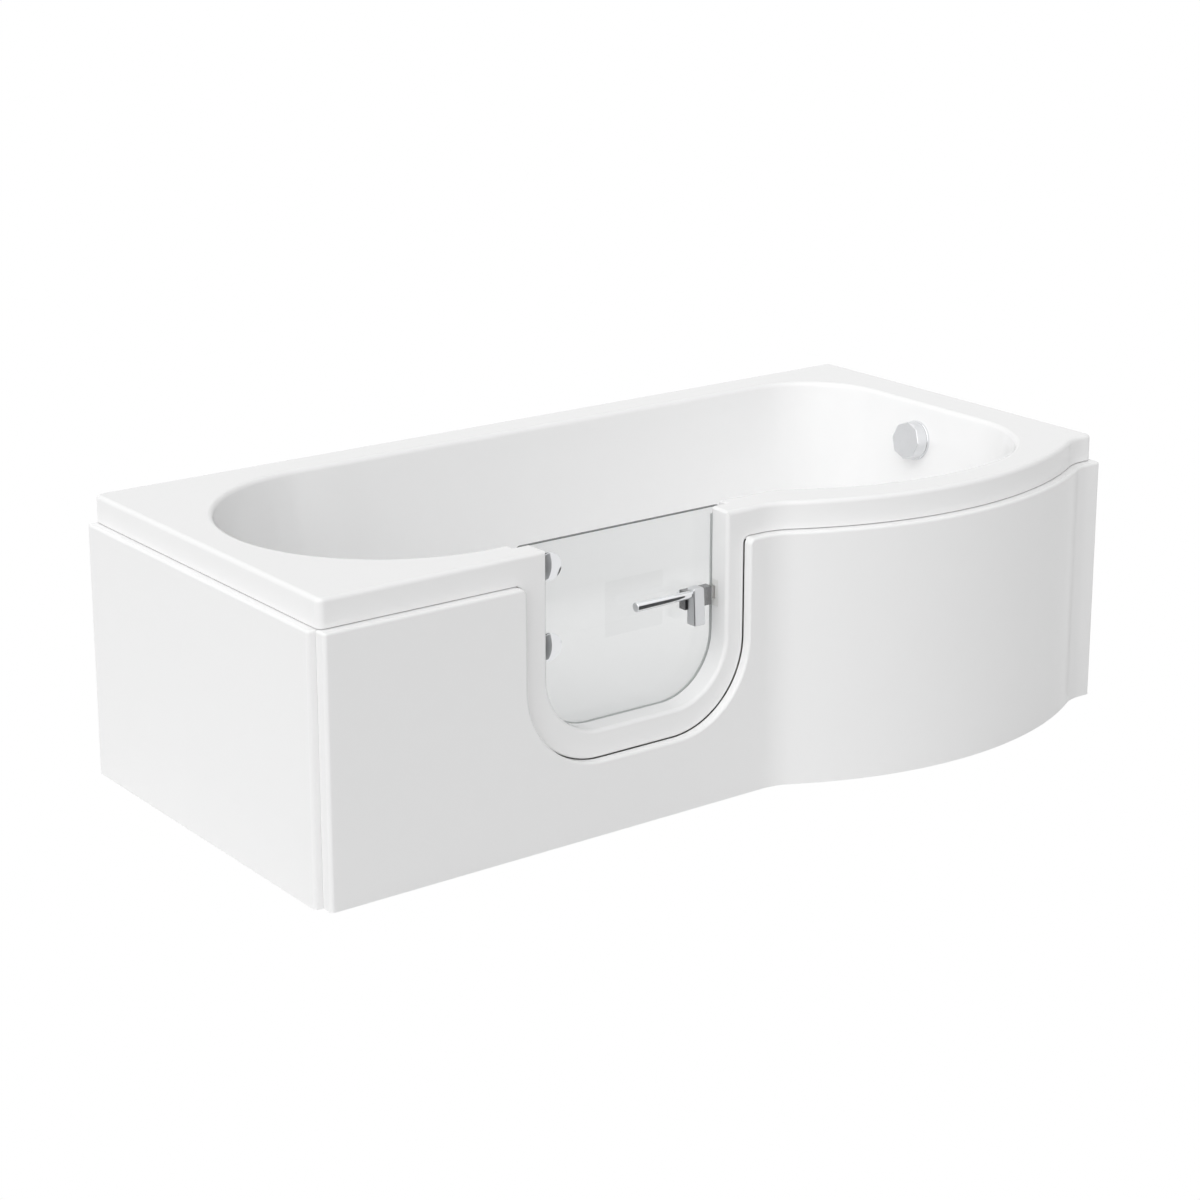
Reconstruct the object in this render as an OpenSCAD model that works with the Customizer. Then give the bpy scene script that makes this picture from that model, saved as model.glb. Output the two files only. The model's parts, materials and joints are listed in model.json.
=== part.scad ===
// Walk-in bath with a glass door: a P-shaped acrylic bath, its panels, the inward
// opening door with its latch, the waste and overflow, and the steel underframe.
// Millimetres, +Z up. The bath's length runs along X, its front faces -Y and the
// wall side is +Y. Inside the modules x = 0 is the rim's left face, y = 0 the rim's
// straight front face and z = 0 the floor; in_frame() moves each piece so that the
// origin is under the middle of the whole object.

/* [Bath shell] */
// Length of the rim
bath_l = 1700; // [1600:10:1800]
// Width of the rim where its front is straight
bath_w = 750; // [700:10:800]
// Height of the rim above the floor
rim_h = 515; // [490:5:560]
// Height of the rim's outer skirt
skirt_h = 50; // [35:1:70]
// Thickness of the acrylic shell
shell_t = 5; // [4:0.5:8]
// Radius of the rim's corners in plan
rim_corner_r = 13; // [9:1:25]
// Radius of the rim's outer top edge
rim_edge_r = 8; // [4:1:8]
// How far the bowed front stands out from the straight front
bow_out = 104; // [80:1:120]
// Distance from the door opening to the start of the bow
bow_gap_l = 71.5; // [60:0.5:80]
// Distance from the end of the bow to the rim's right face
bow_gap_r = 24.4; // [20:0.2:40]
// Radius of the hollow blend on the left of the bow
bow_blend_l = 130; // [90:5:150]
// Radius of the hollow blend on the right of the bow
bow_blend_r = 100; // [60:5:110]

/* [Basin] */
// Width of the flat rim along the front
rim_front_w = 59; // [56:1:66]
// Width of the flat rim along the wall side
rim_back_w = 65; // [50:1:80]
// Width of the flat rim at the left end
rim_left_w = 59; // [50:1:80]
// Width of the flat rim at the right end
rim_right_w = 82; // [70:1:95]
// Height of the basin floor above the floor of the room
basin_floor_z = 135; // [128:1:140]
// Radius of the rolled inner edge of the rim
roll_r = 10; // [8:1:12]
// Lean of the wall side and the right end, from the rim to the basin floor
wall_lean = 45; // [20:1:60]
// Extra lean of the backrest at the left end
back_lean = 85; // [60:5:100]
// Radius between the walls and the basin floor
floor_r = 60; // [50:1:70]
// Distance from the door opening to the start of the basin's bow
basin_gap_l = 122.5; // [110:0.5:128]
// How far the middle of the basin's bow is to the right of the rim's
basin_bow_shift = 17; // [5:1:25]
// Width of the flat rim at the middle of the bow
rim_bow_w = 58.5; // [54:0.5:64]
// Radius of the hollow blend between the straight front and the bow
basin_blend_r = 100; // [80:5:130]
// Radius of the basin's front right corner
corner_front_r = 250; // [220:5:260]
// Radius of the basin's back right corner
corner_back_r = 165; // [140:5:180]

/* [Door opening] */
// Distance of the opening's left side from the rim's left face
door_x = 432; // [415:1:445]
// Clear width of the door opening
door_w = 379; // [365:1:395]
// Height of the sill of the door opening above the basin floor
sill_up = 48; // [40:1:60]
// Radius of the opening's bottom corners
door_corner_r = 112; // [95:1:120]
// Width of the band on the left of the opening
band_left_w = 50; // [46:1:54]
// Width of the band under the opening
band_low_w = 49; // [45:1:52]
// Width of the band on the right of the opening
band_right_w = 37; // [34:1:42]
// Radius of the band's bottom corners
band_corner_r = 155; // [140:1:165]
// Depth of the opening from the rim's front face to the face the door shuts on
reveal_d = 43; // [40:1:46]
// Depth of the edge that turns in round the outside of the band
band_return = 12; // [8:1:20]
// Gap between the stiffening frame and the moulding around it
frame_gap = 1; // [0.5:0.5:2]

/* [Door] */
// Thickness of the toughened glass
glass_t = 8; // [6:1:10]
// How far the glass laps the opening at the sides and the sill
glass_lap = 27; // [24:1:32]
// Thickness of the door seal
seal_t = 3; // [2:0.5:4]
// Distance of the seal from the glass's edge
seal_edge = 2; // [1:1:4]
// Width of the door seal
seal_w = 26; // [20:1:27]
// Clear gap between the seal and the face it shuts on
seal_gap = 0.3; // [0.3:0.1:0.5]
// Distance of the glass's top edge below the top of the rim
glass_drop = 1; // [1:1:6]
// Radius of the glass's top corners
glass_top_r = 12; // [6:1:20]
// Room around the glass in the recess that it shuts into
recess_gap = 8; // [6:1:10]

/* [Hinges] */
// Distance of the upper hinge below the top of the rim
hinge_drop = 45; // [44:1:50]
// Distance between the two hinges
hinge_pitch = 140; // [124:1:144]
// Diameter of the round cap on the outside of the glass
hinge_cap_d = 48; // [40:1:52]
// Height of the domed cap
hinge_cap_h = 6; // [4:0.5:8]
// Distance of the hinge screw from the opening's left side
hinge_screw_in = 37; // [34:1:44]
// Thickness of the rubber washers against the glass
washer_t = 1; // [0.5:0.5:1.5]
// Thickness of the hinge leaf
leaf_t = 5; // [4:0.5:6]
// Height of the hinge leaf
leaf_h = 44; // [40:1:50]
// Diameter of the hinge pin
pin_d = 8; // [6:1:9]
// Running clearance round the hinge pin
pin_play = 0.05; // [0.02:0.01:0.09]
// Distance of the hinge pin to the left of the glass's edge
pin_out = 16; // [14:1:18]
// Distance of the hinge pin from the inner wall
pin_off = 15; // [13:1:17]
// Outer radius of the hinge knuckles
knuckle_r = 8; // [7.5:0.5:9]
// Height of the door's knuckle
knuckle_h = 20; // [16:1:24]

/* [Latch] */
// Distance of the latch spindle from the opening's right side
latch_in = 51; // [49:1:54]
// Distance of the latch spindle below the top of the rim
latch_drop = 155; // [145:1:165]
// Diameter of the latch spindle
spindle_d = 10; // [8:1:10]
// Running clearance of the spindle in its bush
spindle_play = 0.05; // [0.02:0.01:0.09]
// Width of the lever block
lever_w = 24; // [20:1:26]
// Length of the lever block below the spindle
lever_down = 41; // [35:1:48]
// Height of the lever block above the spindle
lever_up = 26; // [24:1:28]
// Depth of the lever block at its foot
lever_d = 21; // [18:1:22]
// Depth of the lever block at its head
lever_d_top = 17; // [15:1:19]
// Length of the handle bar
bar_l = 118; // [90:1:122]
// Diameter of the handle bar at its free end
bar_d = 17; // [14:1:18]
// Diameter of the handle bar where it enters the lever block
bar_root_d = 13.5; // [11:0.5:15]
// Height of the handle bar above the spindle
bar_up = 14; // [12:1:15]
// Depth of the latch housing in front of the glass
housing_d = 16; // [15.5:0.5:17]
// Height of the latch housing
housing_h = 33; // [32:1:36]
// Wall of the latch housing
housing_wall = 2.5; // [2:0.5:3]
// Travel of the latch bolt
bolt_travel = 14; // [12:1:15]
// Thickness of the latch bolt
bolt_t = 5; // [4:0.5:5.5]
// Gap between the bolt and its guides
bolt_gap = 0.4; // [0.3:0.1:0.6]

/* [Panels] */
// How far the front panel stands out from the rim
panel_out = 17; // [12:1:20]
// How far the end panel stands out from the rim
end_out = 15.5; // [12:0.5:20]
// Thickness of the panels
panel_t = 4; // [3:0.5:6]
// Depth of the edges that turn back round the panels
panel_return = 25; // [20:1:28]
// Gap between the panels and the shell
panel_gap = 1.5; // [1:0.5:3]
// Overhang of the front panel past the rim's right end
panel_past = 6; // [2:1:10]
// Radius of the panels' upright corners
panel_edge_r = 7; // [5:1:9]

/* [Underframe] */
// Side of the square steel tube
tube = 30; // [25:1:34]
// Wall of the square steel tube
tube_wall = 2; // [1.5:0.5:3]
// Distance of the front rail from the rim's front face
rail_in_front = 165; // [155:1:180]
// Distance of the back rail's front from the wall side
rail_in_back = 230; // [220:1:240]
// Distance of the rails' ends from the rim's ends
rail_in_ends = 60; // [50:1:70]
// Distance of the left cross member from the rim's left face
cross_in_left = 150; // [140:1:170]
// Distance of the right cross member from the rim's right face
cross_in_right = 85; // [82:1:90]
// Thickness of the plywood board under the basin
board_t = 18; // [15:1:21]
// Distance of the board's front edge from the rim's front face
board_in_front = 150; // [140:1:155]
// Distance of the board's back edge from the wall side
board_in_back = 190; // [180:1:200]
// Side of the upright posts under the rim
post = 20; // [16:1:24]
// Diameter of the levelling screws
foot_screw_d = 12; // [10:1:16]
// Diameter of the foot pads
foot_d = 50; // [40:1:60]
// Height of the foot pads
foot_h = 14; // [10:1:20]
// Thickness of the lock nuts
nut_t = 9; // [6:1:11]

/* [Waste and overflow] */
// Distance of the waste from the rim's right end
waste_in = 250; // [240:1:290]
// Diameter of the hole through the basin floor
waste_hole_d = 52; // [46:1:56]
// Diameter of the waste flange
waste_flange_d = 72; // [66:1:84]
// Diameter of the trap's pipe
trap_d = 40; // [36:1:42]
// Distance of the control knob's axis below the top of the rim
knob_drop = 74; // [66:1:84]
// Diameter of the control knob
knob_d = 76; // [60:1:84]
// Depth of the control knob
knob_depth = 22; // [16:1:28]
// Diameter of the overflow tube
overflow_d = 28; // [24:1:30]
// Diameter of the control cable
cable_d = 6; // [5:1:8]
// Lift of the waste plug
plug_lift = 10; // [6:1:12]

/* [Wall brackets] */
// Width of a wall bracket
bracket_w = 60; // [50:1:80]
// Height of a wall bracket
bracket_h = 50; // [40:1:60]
// Distance between the bracket's two screw holes
bracket_pitch = 36; // [30:1:44]
// Diameter of the bracket's screw holes
bracket_hole_d = 6.5; // [5:0.5:8]

/* [Hidden] */
eps = 0.5;                 // how far a cut runs past a face
hole_play = 0.2;           // radial room round a screw or a thread
spare = 6;                 // how far a loft runs past the plane that cuts it off
$fn = 48;

// bath shell
door_r = door_x + door_w;
under_rim_z = rim_h - skirt_h;
bow_w = bath_l - bow_gap_r - door_r - bow_gap_l;
bow_half = (bow_w + 2 * bow_out * (bow_blend_l - bow_blend_r) / bow_w) / 2;
bow_r = bow_radius(bow_half, bow_out, bow_blend_l);
bow_x = door_r + bow_gap_l + bow_half;
bow_c = [bow_x, bow_r - bow_out];
basin_back_y = bath_w - rim_back_w;
basin_right_x = bath_l - rim_right_w;
basin_bow_x = bow_x + basin_bow_shift;
basin_bow_r = bow_radius(basin_bow_x - door_r - basin_gap_l,
    rim_front_w + bow_out - rim_bow_w, basin_blend_r);
basin_bow_c = [basin_bow_x, basin_bow_r - bow_out + rim_bow_w];
left_r = (basin_back_y - rim_front_w) / 2;
left_cx = rim_left_w + left_r;
wall_y = rim_front_w + roll_r;             // inner face of the front wall

// door opening, glass and recess
sill_z = basin_floor_z + sill_up;
band_x0 = door_x - band_left_w;
band_x1 = door_r + band_right_w;
glass_y = reveal_d + seal_gap + seal_t;    // outer face of the glass
glass_in = glass_y + glass_t;              // inner face of the glass
glass_l = door_x - glass_lap;
glass_top = rim_h - glass_drop;
glass_low = sill_z - glass_lap;
recess_end = wall_y + floor_r * 0.4;       // past where the floor's curve meets the ledge
recess_l = glass_l - recess_gap;

// hinges
hinge_x = door_x + hinge_screw_in;
hinge_z_top = rim_h - hinge_drop;
hinge_z_low = hinge_z_top - hinge_pitch;
hinge_zs = [hinge_z_low, hinge_z_top];
pin_x = glass_l - pin_out;
pin_y = wall_y + pin_off;
leaf_y = glass_in + washer_t;
cap_y = glass_y - washer_t;
screw_r = 4;
glass_hole_r = 6;
plate_t = 4;                               // hinge bracket's plate
plate_w = 40;
plate_h = 56;
plate_x = 28;                              // plate's middle to the left of the pin
bracket_screw_r = 2.5;
backing_t = 3;
backing_y = wall_y - shell_t - backing_t;
seat_x = pin_x - plate_x - plate_w / 2 - 4;           // flat seat for the hinge brackets
seat_z = [hinge_z_low - plate_h / 2 - 4, hinge_z_top + plate_h / 2 + 4];
seat_depth = 15;
leaf_edge = 4;                             // leaf's end from the edge of the glass
cap_dome_h = 4;
ear_h = 12;                                // hinge bracket's ears
ear_in = 2 * bracket_screw_r + 1.5;        // ears' start to the right of the screws
play_z = 0.4;                              // gap above and below a knuckle

// latch
latch_x = door_r - latch_in;
latch_z = rim_h - latch_drop;
housing_y = glass_y - housing_d;
lever_back = housing_y - 0.5;
housing_r = 42;                            // housing's length right of the spindle
housing_l = 16;                            // housing's length left of the spindle
crank_r = bolt_travel / (2 * sin(45));
crank_pin_r = 2.5;
crank_t = 2.5;
bolt_y = housing_y + housing_wall + bolt_gap;
crank_gap = 0.3;                           // between the crank and the bolt
crank_y = bolt_y + bolt_t + crank_gap;
slot_play = 0.6;                           // between the crank pin and the bolt's slot
spindle_in = 14;                           // spindle's length inside the lever
bar_in = 8;                                // bar's middle in front of the lever's back
lever_top_r = 6;
knob_inner_y = glass_in + 2.3;
bolt_low = latch_z - 8;
bolt_high = latch_z + housing_h / 2 - housing_wall + 1 - bolt_gap;
bolt_tip = latch_x + housing_r + 4;
housing_z = latch_z + 1;                   // middle of the housing
bush_r = 8;
strike_t = 2;
strike_edge = 12;                          // strike plate's reach past the bolt
strike_end = bolt_tip + bolt_travel + 4;   // end of the pocket that the bolt shoots into

// panels
panel_h = under_rim_z - 1;
panel_face_y = -panel_out;
panel_back_y = panel_face_y + panel_return;
panel_end_x = bath_l + panel_past;
panel_start_x = -1;
cut_corner_r = 12;
clip_t = 3;
clip_y = -8;

// underframe
board_top = basin_floor_z - shell_t;
rail_z = board_top - board_t - tube;
cross_z = rail_z - tube;
rail_ys = [rail_in_front, bath_w - rail_in_back];
rail_x0 = rail_in_ends;
rail_x1 = bath_l - rail_in_ends;
cross_xs = [cross_in_left, door_r + band_right_w + 47, bath_l - cross_in_right];
cross_y0 = 36;
cross_y1 = bath_w - 10;
foot_ys = [cross_y0 + 45, cross_y1 - 50];
foot_socket = 8;                           // screw's depth in the foot pad
board_x0 = left_cx - 50;
board_x1 = bath_l - waste_in - 60;
board_y0 = board_in_front;
board_y1 = bath_w - board_in_back;
foot_names = ["left_front", "left_back", "middle_front", "middle_back", "right_front", "right_back"];
post_y_front = 38;
post_y_back = bath_w - shell_t - post - 7;
nut_r = foot_screw_d * 0.9;

// waste and overflow
waste_x = bath_l - waste_in;
waste_y = bath_w / 2;
waste_t = 3;
waste_body_r = waste_hole_d / 2 - 1;
flange_in = 12;                            // length of the flange's thread in the body
branch_x = waste_x + waste_body_r + 8;     // end of the branch for the overflow tube
stem_r = 4;
stem_play = 0.05;
plug_r = 29;
plug_t = 3.7;
plug_gap = 0.3;
trap_z = 70;                               // top of the trap's lower bend
waste_low = trap_z + 15;
guide_z = waste_low + 6;
guide_t = 5;
trap_bend_r = 32;
outlet_bend_r = 34;
outlet_z = trap_z + outlet_bend_r;
outlet_y = waste_y + 2 * trap_bend_r;
outlet_x = bath_l - 20;
socket_l = 25;                             // depth of the trap's outlet socket
socket_play = 0.3;
trap_wall = 2.5;
knob_y = waste_y;
knob_z = rim_h - knob_drop;
knob_wall_x = basin_right_x - roll_r
    - wall_lean * (rim_h - roll_r - knob_z) / (rim_h - roll_r - basin_floor_z - floor_r);
knob_tilt = atan(wall_lean / (rim_h - roll_r - basin_floor_z - floor_r));
rose_t = 5;
rose_gap = 0.05;                           // between the rose and the wall
knob_play = 0.3;
knob_stem_r = 7;
gasket_t = 0.5;                            // between the wall and the overflow body
overflow_body_d = 36;                      // depth of the overflow body behind the wall
overflow_x = knob_wall_x + shell_t + 22;
overflow_low = rail_z + tube / 2 + 3;
overflow_bend_r = 40;
overflow_top = knob_z - 45;                // where the tube joins the overflow body
cable_x = overflow_x - overflow_d / 2 - cable_d / 2 - 1;

// whole object's middle in plan
lowest_y = -bow_out - panel_out;
origin = [(panel_end_x - end_out) / 2, (bath_w + lowest_y) / 2, 0];

// ---- plan outlines -------------------------------------------------------------

// Points on an arc from angle a0 up to, but not at, a1, in n steps
function arc(c, r, a0, a1, n) =
    [for (i = [0:n - 1]) let (a = a0 + (a1 - a0) * i / n) c + r * [cos(a), sin(a)]];

// Radius of a bow from half its width, how far it stands out and its blend's radius
function bow_radius(half, out, b) = (half * half / out + out) / 2 - b;

// Distance along X from a bow's middle to the middle of a blend of radius b
function blend_dx(c, r, y, b) = sqrt(pow(r + b, 2) - pow(c[1] - y + b, 2));
// Angle at the blend's middle between +X and the bow's middle
function blend_a(c, r, y, b) = acos(blend_dx(c, r, y, b) / (r + b));

// Left blend and bow, inset by i towards the wall side; the bow stops at angle a_end
function bow_left(c, r, y, b, i, a_end) = let (a = blend_a(c, r, y, b)) concat(
    arc([c[0] - blend_dx(c, r, y, b), y - b], b + i, 90, a, 7),
    arc(c, r - i, 180 + a, a_end, 26));

// The rim's front from the left blend to the right blend, inset by i
function front_path(i) = let (a = blend_a(bow_c, bow_r, 0, bow_blend_r)) concat(
    bow_left(bow_c, bow_r, 0, bow_blend_l, i, 360 - a),
    arc([bow_x + blend_dx(bow_c, bow_r, 0, bow_blend_r), -bow_blend_r],
        bow_blend_r + i, 180 - a, 90, 7),
    [[bow_x + blend_dx(bow_c, bow_r, 0, bow_blend_r), i]]);

// The rim's outline, inset by i
function rim_ring(i) = let (c = rim_corner_r, r = rim_corner_r - i) concat(
    arc([c, c], r, 180, 270, 4), [[c, i]],
    front_path(i),
    arc([bath_l - c, c], r, 270, 360, 4), [[bath_l - i, c]],
    arc([bath_l - c, bath_w - c], r, 0, 90, 4), [[bath_l - c, bath_w - i]],
    arc([c, bath_w - c], r, 90, 180, 4), [[i, bath_w - c]]);

// The basin's outline: d is the inset at the wall side and the right end, f at the
// front and e the extra inset of the backrest
function basin_ring(d, f, e) = let (
    yb = basin_back_y - d, yf = rim_front_w + f, xr = basin_right_x - d,
    r = basin_bow_r - f, k = corner_front_r - (d + f) / 2, kx = xr - k,
    ky = basin_bow_c[1] - sqrt(pow(r - k, 2) - pow(kx - basin_bow_c[0], 2)),
    ka = atan2(ky - basin_bow_c[1], kx - basin_bow_c[0]), kb = corner_back_r - d)
    concat(
        [for (i = [0:22]) let (a = 90 + 180 * i / 22)
            [left_cx + (left_r - d - e) * cos(a), (yb + yf) / 2 + (yb - yf) / 2 * sin(a)]],
        bow_left(basin_bow_c, basin_bow_r, rim_front_w, basin_blend_r, f, 360 + ka),
        arc([kx, ky], k, ka, 0, 10), [[xr, ky]],
        arc([xr - kb, yb - kb], kb, 0, 90, 9), [[xr - kb, yb]]);

// One level of the basin: s runs down the wall from 0 to 1, a is the angle round
// the floor's curve, out the thickness outside the inner face. The walls go on
// leaning round the floor's curve, so t runs on past 1 there.
function basin_level(s, a, out) = let (
    wall_top = rim_h - roll_r, wall_low = basin_floor_z + floor_r,
    t = s + floor_r * sin(a) / (wall_top - wall_low),
    grow = floor_r * (1 - cos(a)) - out)
    [basin_ring(roll_r + wall_lean * t + grow, roll_r + grow, back_lean * t * (1 + t) / 2),
     wall_top + (wall_low - wall_top) * s - floor_r * sin(a) - out * s];

// A solid through rings of equal length, from the lowest up; each level is [ring, height]
module loft(levels) {
    n = len(levels[0][0]);
    points = [for (l = levels) for (p = l[0]) [p[0], p[1], l[1]]];
    sides = [for (j = [0:len(levels) - 2]) for (i = [0:n - 1])
        let (a = j * n + i, b = j * n + (i + 1) % n)
        each [[b + n, b, a], [a + n, b + n, a]]];
    bottom = [for (i = [0:n - 1]) i];
    top = [for (i = [n - 1:-1:0]) (len(levels) - 1) * n + i];
    polyhedron(points, concat(sides, [bottom], [top]), convexity = 10);
}

// ---- shared shapes -------------------------------------------------------------

module in_frame() translate(-origin) children();

// A profile drawn in X and Z, extruded from y0 to y1
module along_y(y0, y1) translate([0, y1, 0]) rotate([90, 0, 0])
    linear_extrude(height = y1 - y0) children();

// A U in X and Z from x0 to x1 and from z0 up to its open top, its bottom corners rounded
module u_shape(x0, x1, z0, r, top) {
    translate([x0, z0 + r]) square([x1 - x0, top - z0 - r]);
    translate([x0 + r, z0]) square([x1 - x0 - 2 * r, r + eps]);
    for (x = [x0 + r, x1 - r]) translate([x, z0 + r]) circle(r, $fn = 96);
}
// The opening's U and the band's outer U, grown by g
module door_u(g, top) u_shape(door_x - g, door_r + g, sill_z - g, door_corner_r + g, top);
module band_u(g, top) u_shape(band_x0 - g, band_x1 + g, sill_z - band_low_w - g, band_corner_r + g, top);

// A square steel tube along X or Y from its lowest corner
module tube_x(length) difference() {
    cube([length, tube, tube]);
    translate([-eps, tube_wall, tube_wall])
        cube([length + 2 * eps, tube - 2 * tube_wall, tube - 2 * tube_wall]);
}
module tube_y(length) translate([tube, 0, 0]) rotate([0, 0, 90]) tube_x(length);

// A round bar or tube between two points along one axis
module rod_z(x, y, z0, z1, r) translate([x, y, z0]) cylinder(h = z1 - z0, r = r);
module rod_y(x, z, y0, y1, r) translate([x, y0, z]) rotate([-90, 0, 0]) cylinder(h = y1 - y0, r = r);
module rod_x(y, z, x0, x1, r) translate([x0, y, z]) rotate([0, 90, 0]) cylinder(h = x1 - x0, r = r);

// ---- bath shell ----------------------------------------------------------------

// The basin's levels from its floor up to where the rim's roll starts
function basin_levels(out) = concat(
    [for (a = [90, 70, 50, 25]) basin_level(1, a, out)],
    [for (s = [1, 0.7, 0.35, 0]) basin_level(s, 0, out)]);

module basin_cavity() loft(concat(
    basin_levels(0),
    [for (a = [60, 30])
        [basin_ring(roll_r * sin(a), roll_r * sin(a), 0), rim_h - roll_r * (1 - cos(a))]],
    [[basin_ring(0, 0, 0), rim_h + 1]]));

module basin_body() loft(concat(
    basin_levels(shell_t),
    [[basin_ring(roll_r - shell_t, roll_r - shell_t, 0), rim_h - shell_t / 2]]));

// The rim, lofted past its top and its lower edge and cut off flat there
module rim_body() intersection() {
    loft(concat(
        [[rim_ring(0), under_rim_z - spare]],
        [for (a = [0, 30, 60, 90]) [rim_ring(rim_edge_r * (1 - cos(a))),
            rim_h - rim_edge_r * (1 - sin(a))]],
        [[rim_ring(rim_edge_r), rim_h + spare]]));
    translate([-spare, -bow_out - spare, under_rim_z])
        cube([bath_l + 2 * spare, bath_w + bow_out + 2 * spare, skirt_h]);
}

// The webs that fill the corners between the band and the rim's skirt, hollowed to
// follow the rounded corners of the panel
module band_webs() for (side = [-1, 1]) difference() {
    x = side < 0 ? band_x0 : band_x1;
    r = cut_corner_r + panel_gap;
    translate([side < 0 ? x - r + eps : x - eps, panel_h - cut_corner_r])
        square([r, under_rim_z - panel_h + cut_corner_r]);
    translate([x + side * r, panel_h - cut_corner_r]) circle(r);
}

// The door surround before it is opened: the band with its turned-in edge, the reveal
// and the rebated face that the door shuts on, all under the rim
module surround_body() {
    along_y(0, shell_t) {
        band_u(0, under_rim_z);
        band_webs();
    }
    along_y(0, band_return) difference() {
        band_u(0, under_rim_z);
        band_u(-shell_t, rim_h);
    }
    for (step = [[0, under_rim_z], [shell_t, rim_h - shell_t]]) along_y(step[0], reveal_d) difference() {
        door_u(shell_t, step[1]);
        door_u(0, rim_h);
    }
    along_y(reveal_d - shell_t, recess_end + shell_t)
        door_u(glass_lap + recess_gap + shell_t, rim_h - shell_t);
}

// The way through the opening and the recess that the glass shuts into
module door_way() {
    along_y(-eps, reveal_d + eps) door_u(0, rim_h + eps);
    along_y(reveal_d, recess_end) door_u(glass_lap + recess_gap, rim_h + eps);
}

// Flat seat for the hinge brackets left of the recess, grown by g on its outside and
// cut to a depth into the basin
module hinge_seat(g, depth) translate([seat_x - g, wall_y - g, seat_z[0] - g])
    cube([recess_l - seat_x + g + eps, g + max(depth, shell_t), seat_z[1] - seat_z[0] + 2 * g]);

module bath_shell() in_frame() color("white") difference() {
    union() {
        difference() {
            rim_body();
            translate([0, 0, under_rim_z - eps]) linear_extrude(height = skirt_h + eps - shell_t)
                polygon(rim_ring(shell_t));
        }
        basin_body();
        hinge_seat(shell_t, 0);
    }
    basin_cavity();
    hinge_seat(0, seat_depth);
    surround_body();
    door_way();
    rod_z(waste_x, waste_y, basin_floor_z - 2 * shell_t, basin_floor_z + shell_t, waste_hole_d / 2);
    knob_place() rod_x(0, 0, -4, 2 * shell_t, knob_stem_r + 6);
    for (z = hinge_zs) bracket_screw_holes(z, wall_y - 2 * shell_t, wall_y + eps);
}

module door_surround() in_frame() color("white") difference() {
    surround_body();
    basin_cavity();
    door_way();
    strike_hole(door_r - eps, strike_end);
    strike_block(-eps, hole_play);
}

// ---- panels --------------------------------------------------------------------

// The front panel in plan, inset by i from its outer face
module front_panel_plan(i) {
    r = panel_edge_r - i;
    c = panel_edge_r;
    polygon(concat(
        [[panel_start_x + i, panel_back_y + (i > 0 ? eps : 0)]],
        arc([panel_start_x + c, panel_face_y + c], r, 180, 270, 5),
        [[panel_start_x + c, panel_face_y + i]],
        front_path(i - panel_out),
        arc([panel_end_x - c, panel_face_y + c], r, 270, 360, 5),
        [[panel_end_x - i, panel_face_y + c],
         [panel_end_x - i, panel_back_y + (i > 0 ? eps : 0)]]));
}

// The cut round the band, with rounded corners where it meets the panel's top
module door_cut() {
    c = cut_corner_r;
    band_u(panel_gap, panel_h + eps);
    for (side = [-1, 1]) {
        x = side < 0 ? band_x0 - panel_gap : band_x1 + panel_gap;
        difference() {
            translate([side < 0 ? x - c : x - eps, panel_h - c]) square([c + eps, c + eps]);
            translate([x + side * c, panel_h - c]) circle(c);
        }
    }
}

module front_panel() in_frame() color("white") {
    difference() {
        linear_extrude(height = panel_h) front_panel_plan(0);
        translate([0, 0, -eps]) linear_extrude(height = panel_h - panel_t + eps)
            front_panel_plan(panel_t);
        translate([0, 0, -eps]) linear_extrude(height = panel_h + 2 * eps) polygon(concat(
            [[panel_start_x + panel_return, panel_back_y + eps]],
            front_path(panel_return - panel_out),
            [[panel_end_x - panel_return, panel_back_y + eps]]));
        along_y(panel_face_y - bow_out, panel_back_y + eps) door_cut();
    }
    along_y(panel_face_y + panel_t / 2, -1) difference() {
        band_u(panel_gap + panel_t, panel_h - panel_t / 2);
        band_u(panel_gap, panel_h);
        for (x = [band_x0 - panel_gap - panel_t - eps, band_x1 + panel_gap - eps])
            translate([x, panel_h - cut_corner_r])
                square([panel_t + 2 * eps, cut_corner_r + eps]);
    }
}

module end_panel() in_frame() color("white") translate([0, panel_back_y + 0.5, 0]) difference() {
    w = bath_w - panel_back_y - 0.5;
    linear_extrude(height = panel_h) polygon(concat(
        arc([panel_edge_r - end_out, panel_edge_r], panel_edge_r, 180, 270, 5),
        [[panel_edge_r - end_out, 0], [panel_return - end_out, 0], [panel_return - end_out, w]],
        arc([panel_edge_r - end_out, w - panel_edge_r], panel_edge_r, 90, 180, 5),
        [[-end_out, w - panel_edge_r]]));
    translate([panel_t - end_out, panel_t, -eps])
        cube([panel_return, w - 2 * panel_t, panel_h - panel_t + eps]);
}

// ---- door frame, glass and seal ------------------------------------------------

// The pocket that the latch bolt shoots into, cut from x0 to x1
module strike_hole(x0, x1) translate([x0, bolt_y - 1, bolt_low - 1])
    cube([x1 - x0, bolt_t + 2, bolt_high - bolt_low + 2]);

module door_stiffener() in_frame() color("burlywood") difference() {
    along_y(shell_t + frame_gap, reveal_d - shell_t - frame_gap) difference() {
        band_u(-shell_t - frame_gap, rim_h - shell_t - 2 * frame_gap);
        door_u(shell_t + frame_gap, rim_h);
    }
    strike_hole(door_r, strike_end);
}

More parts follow.
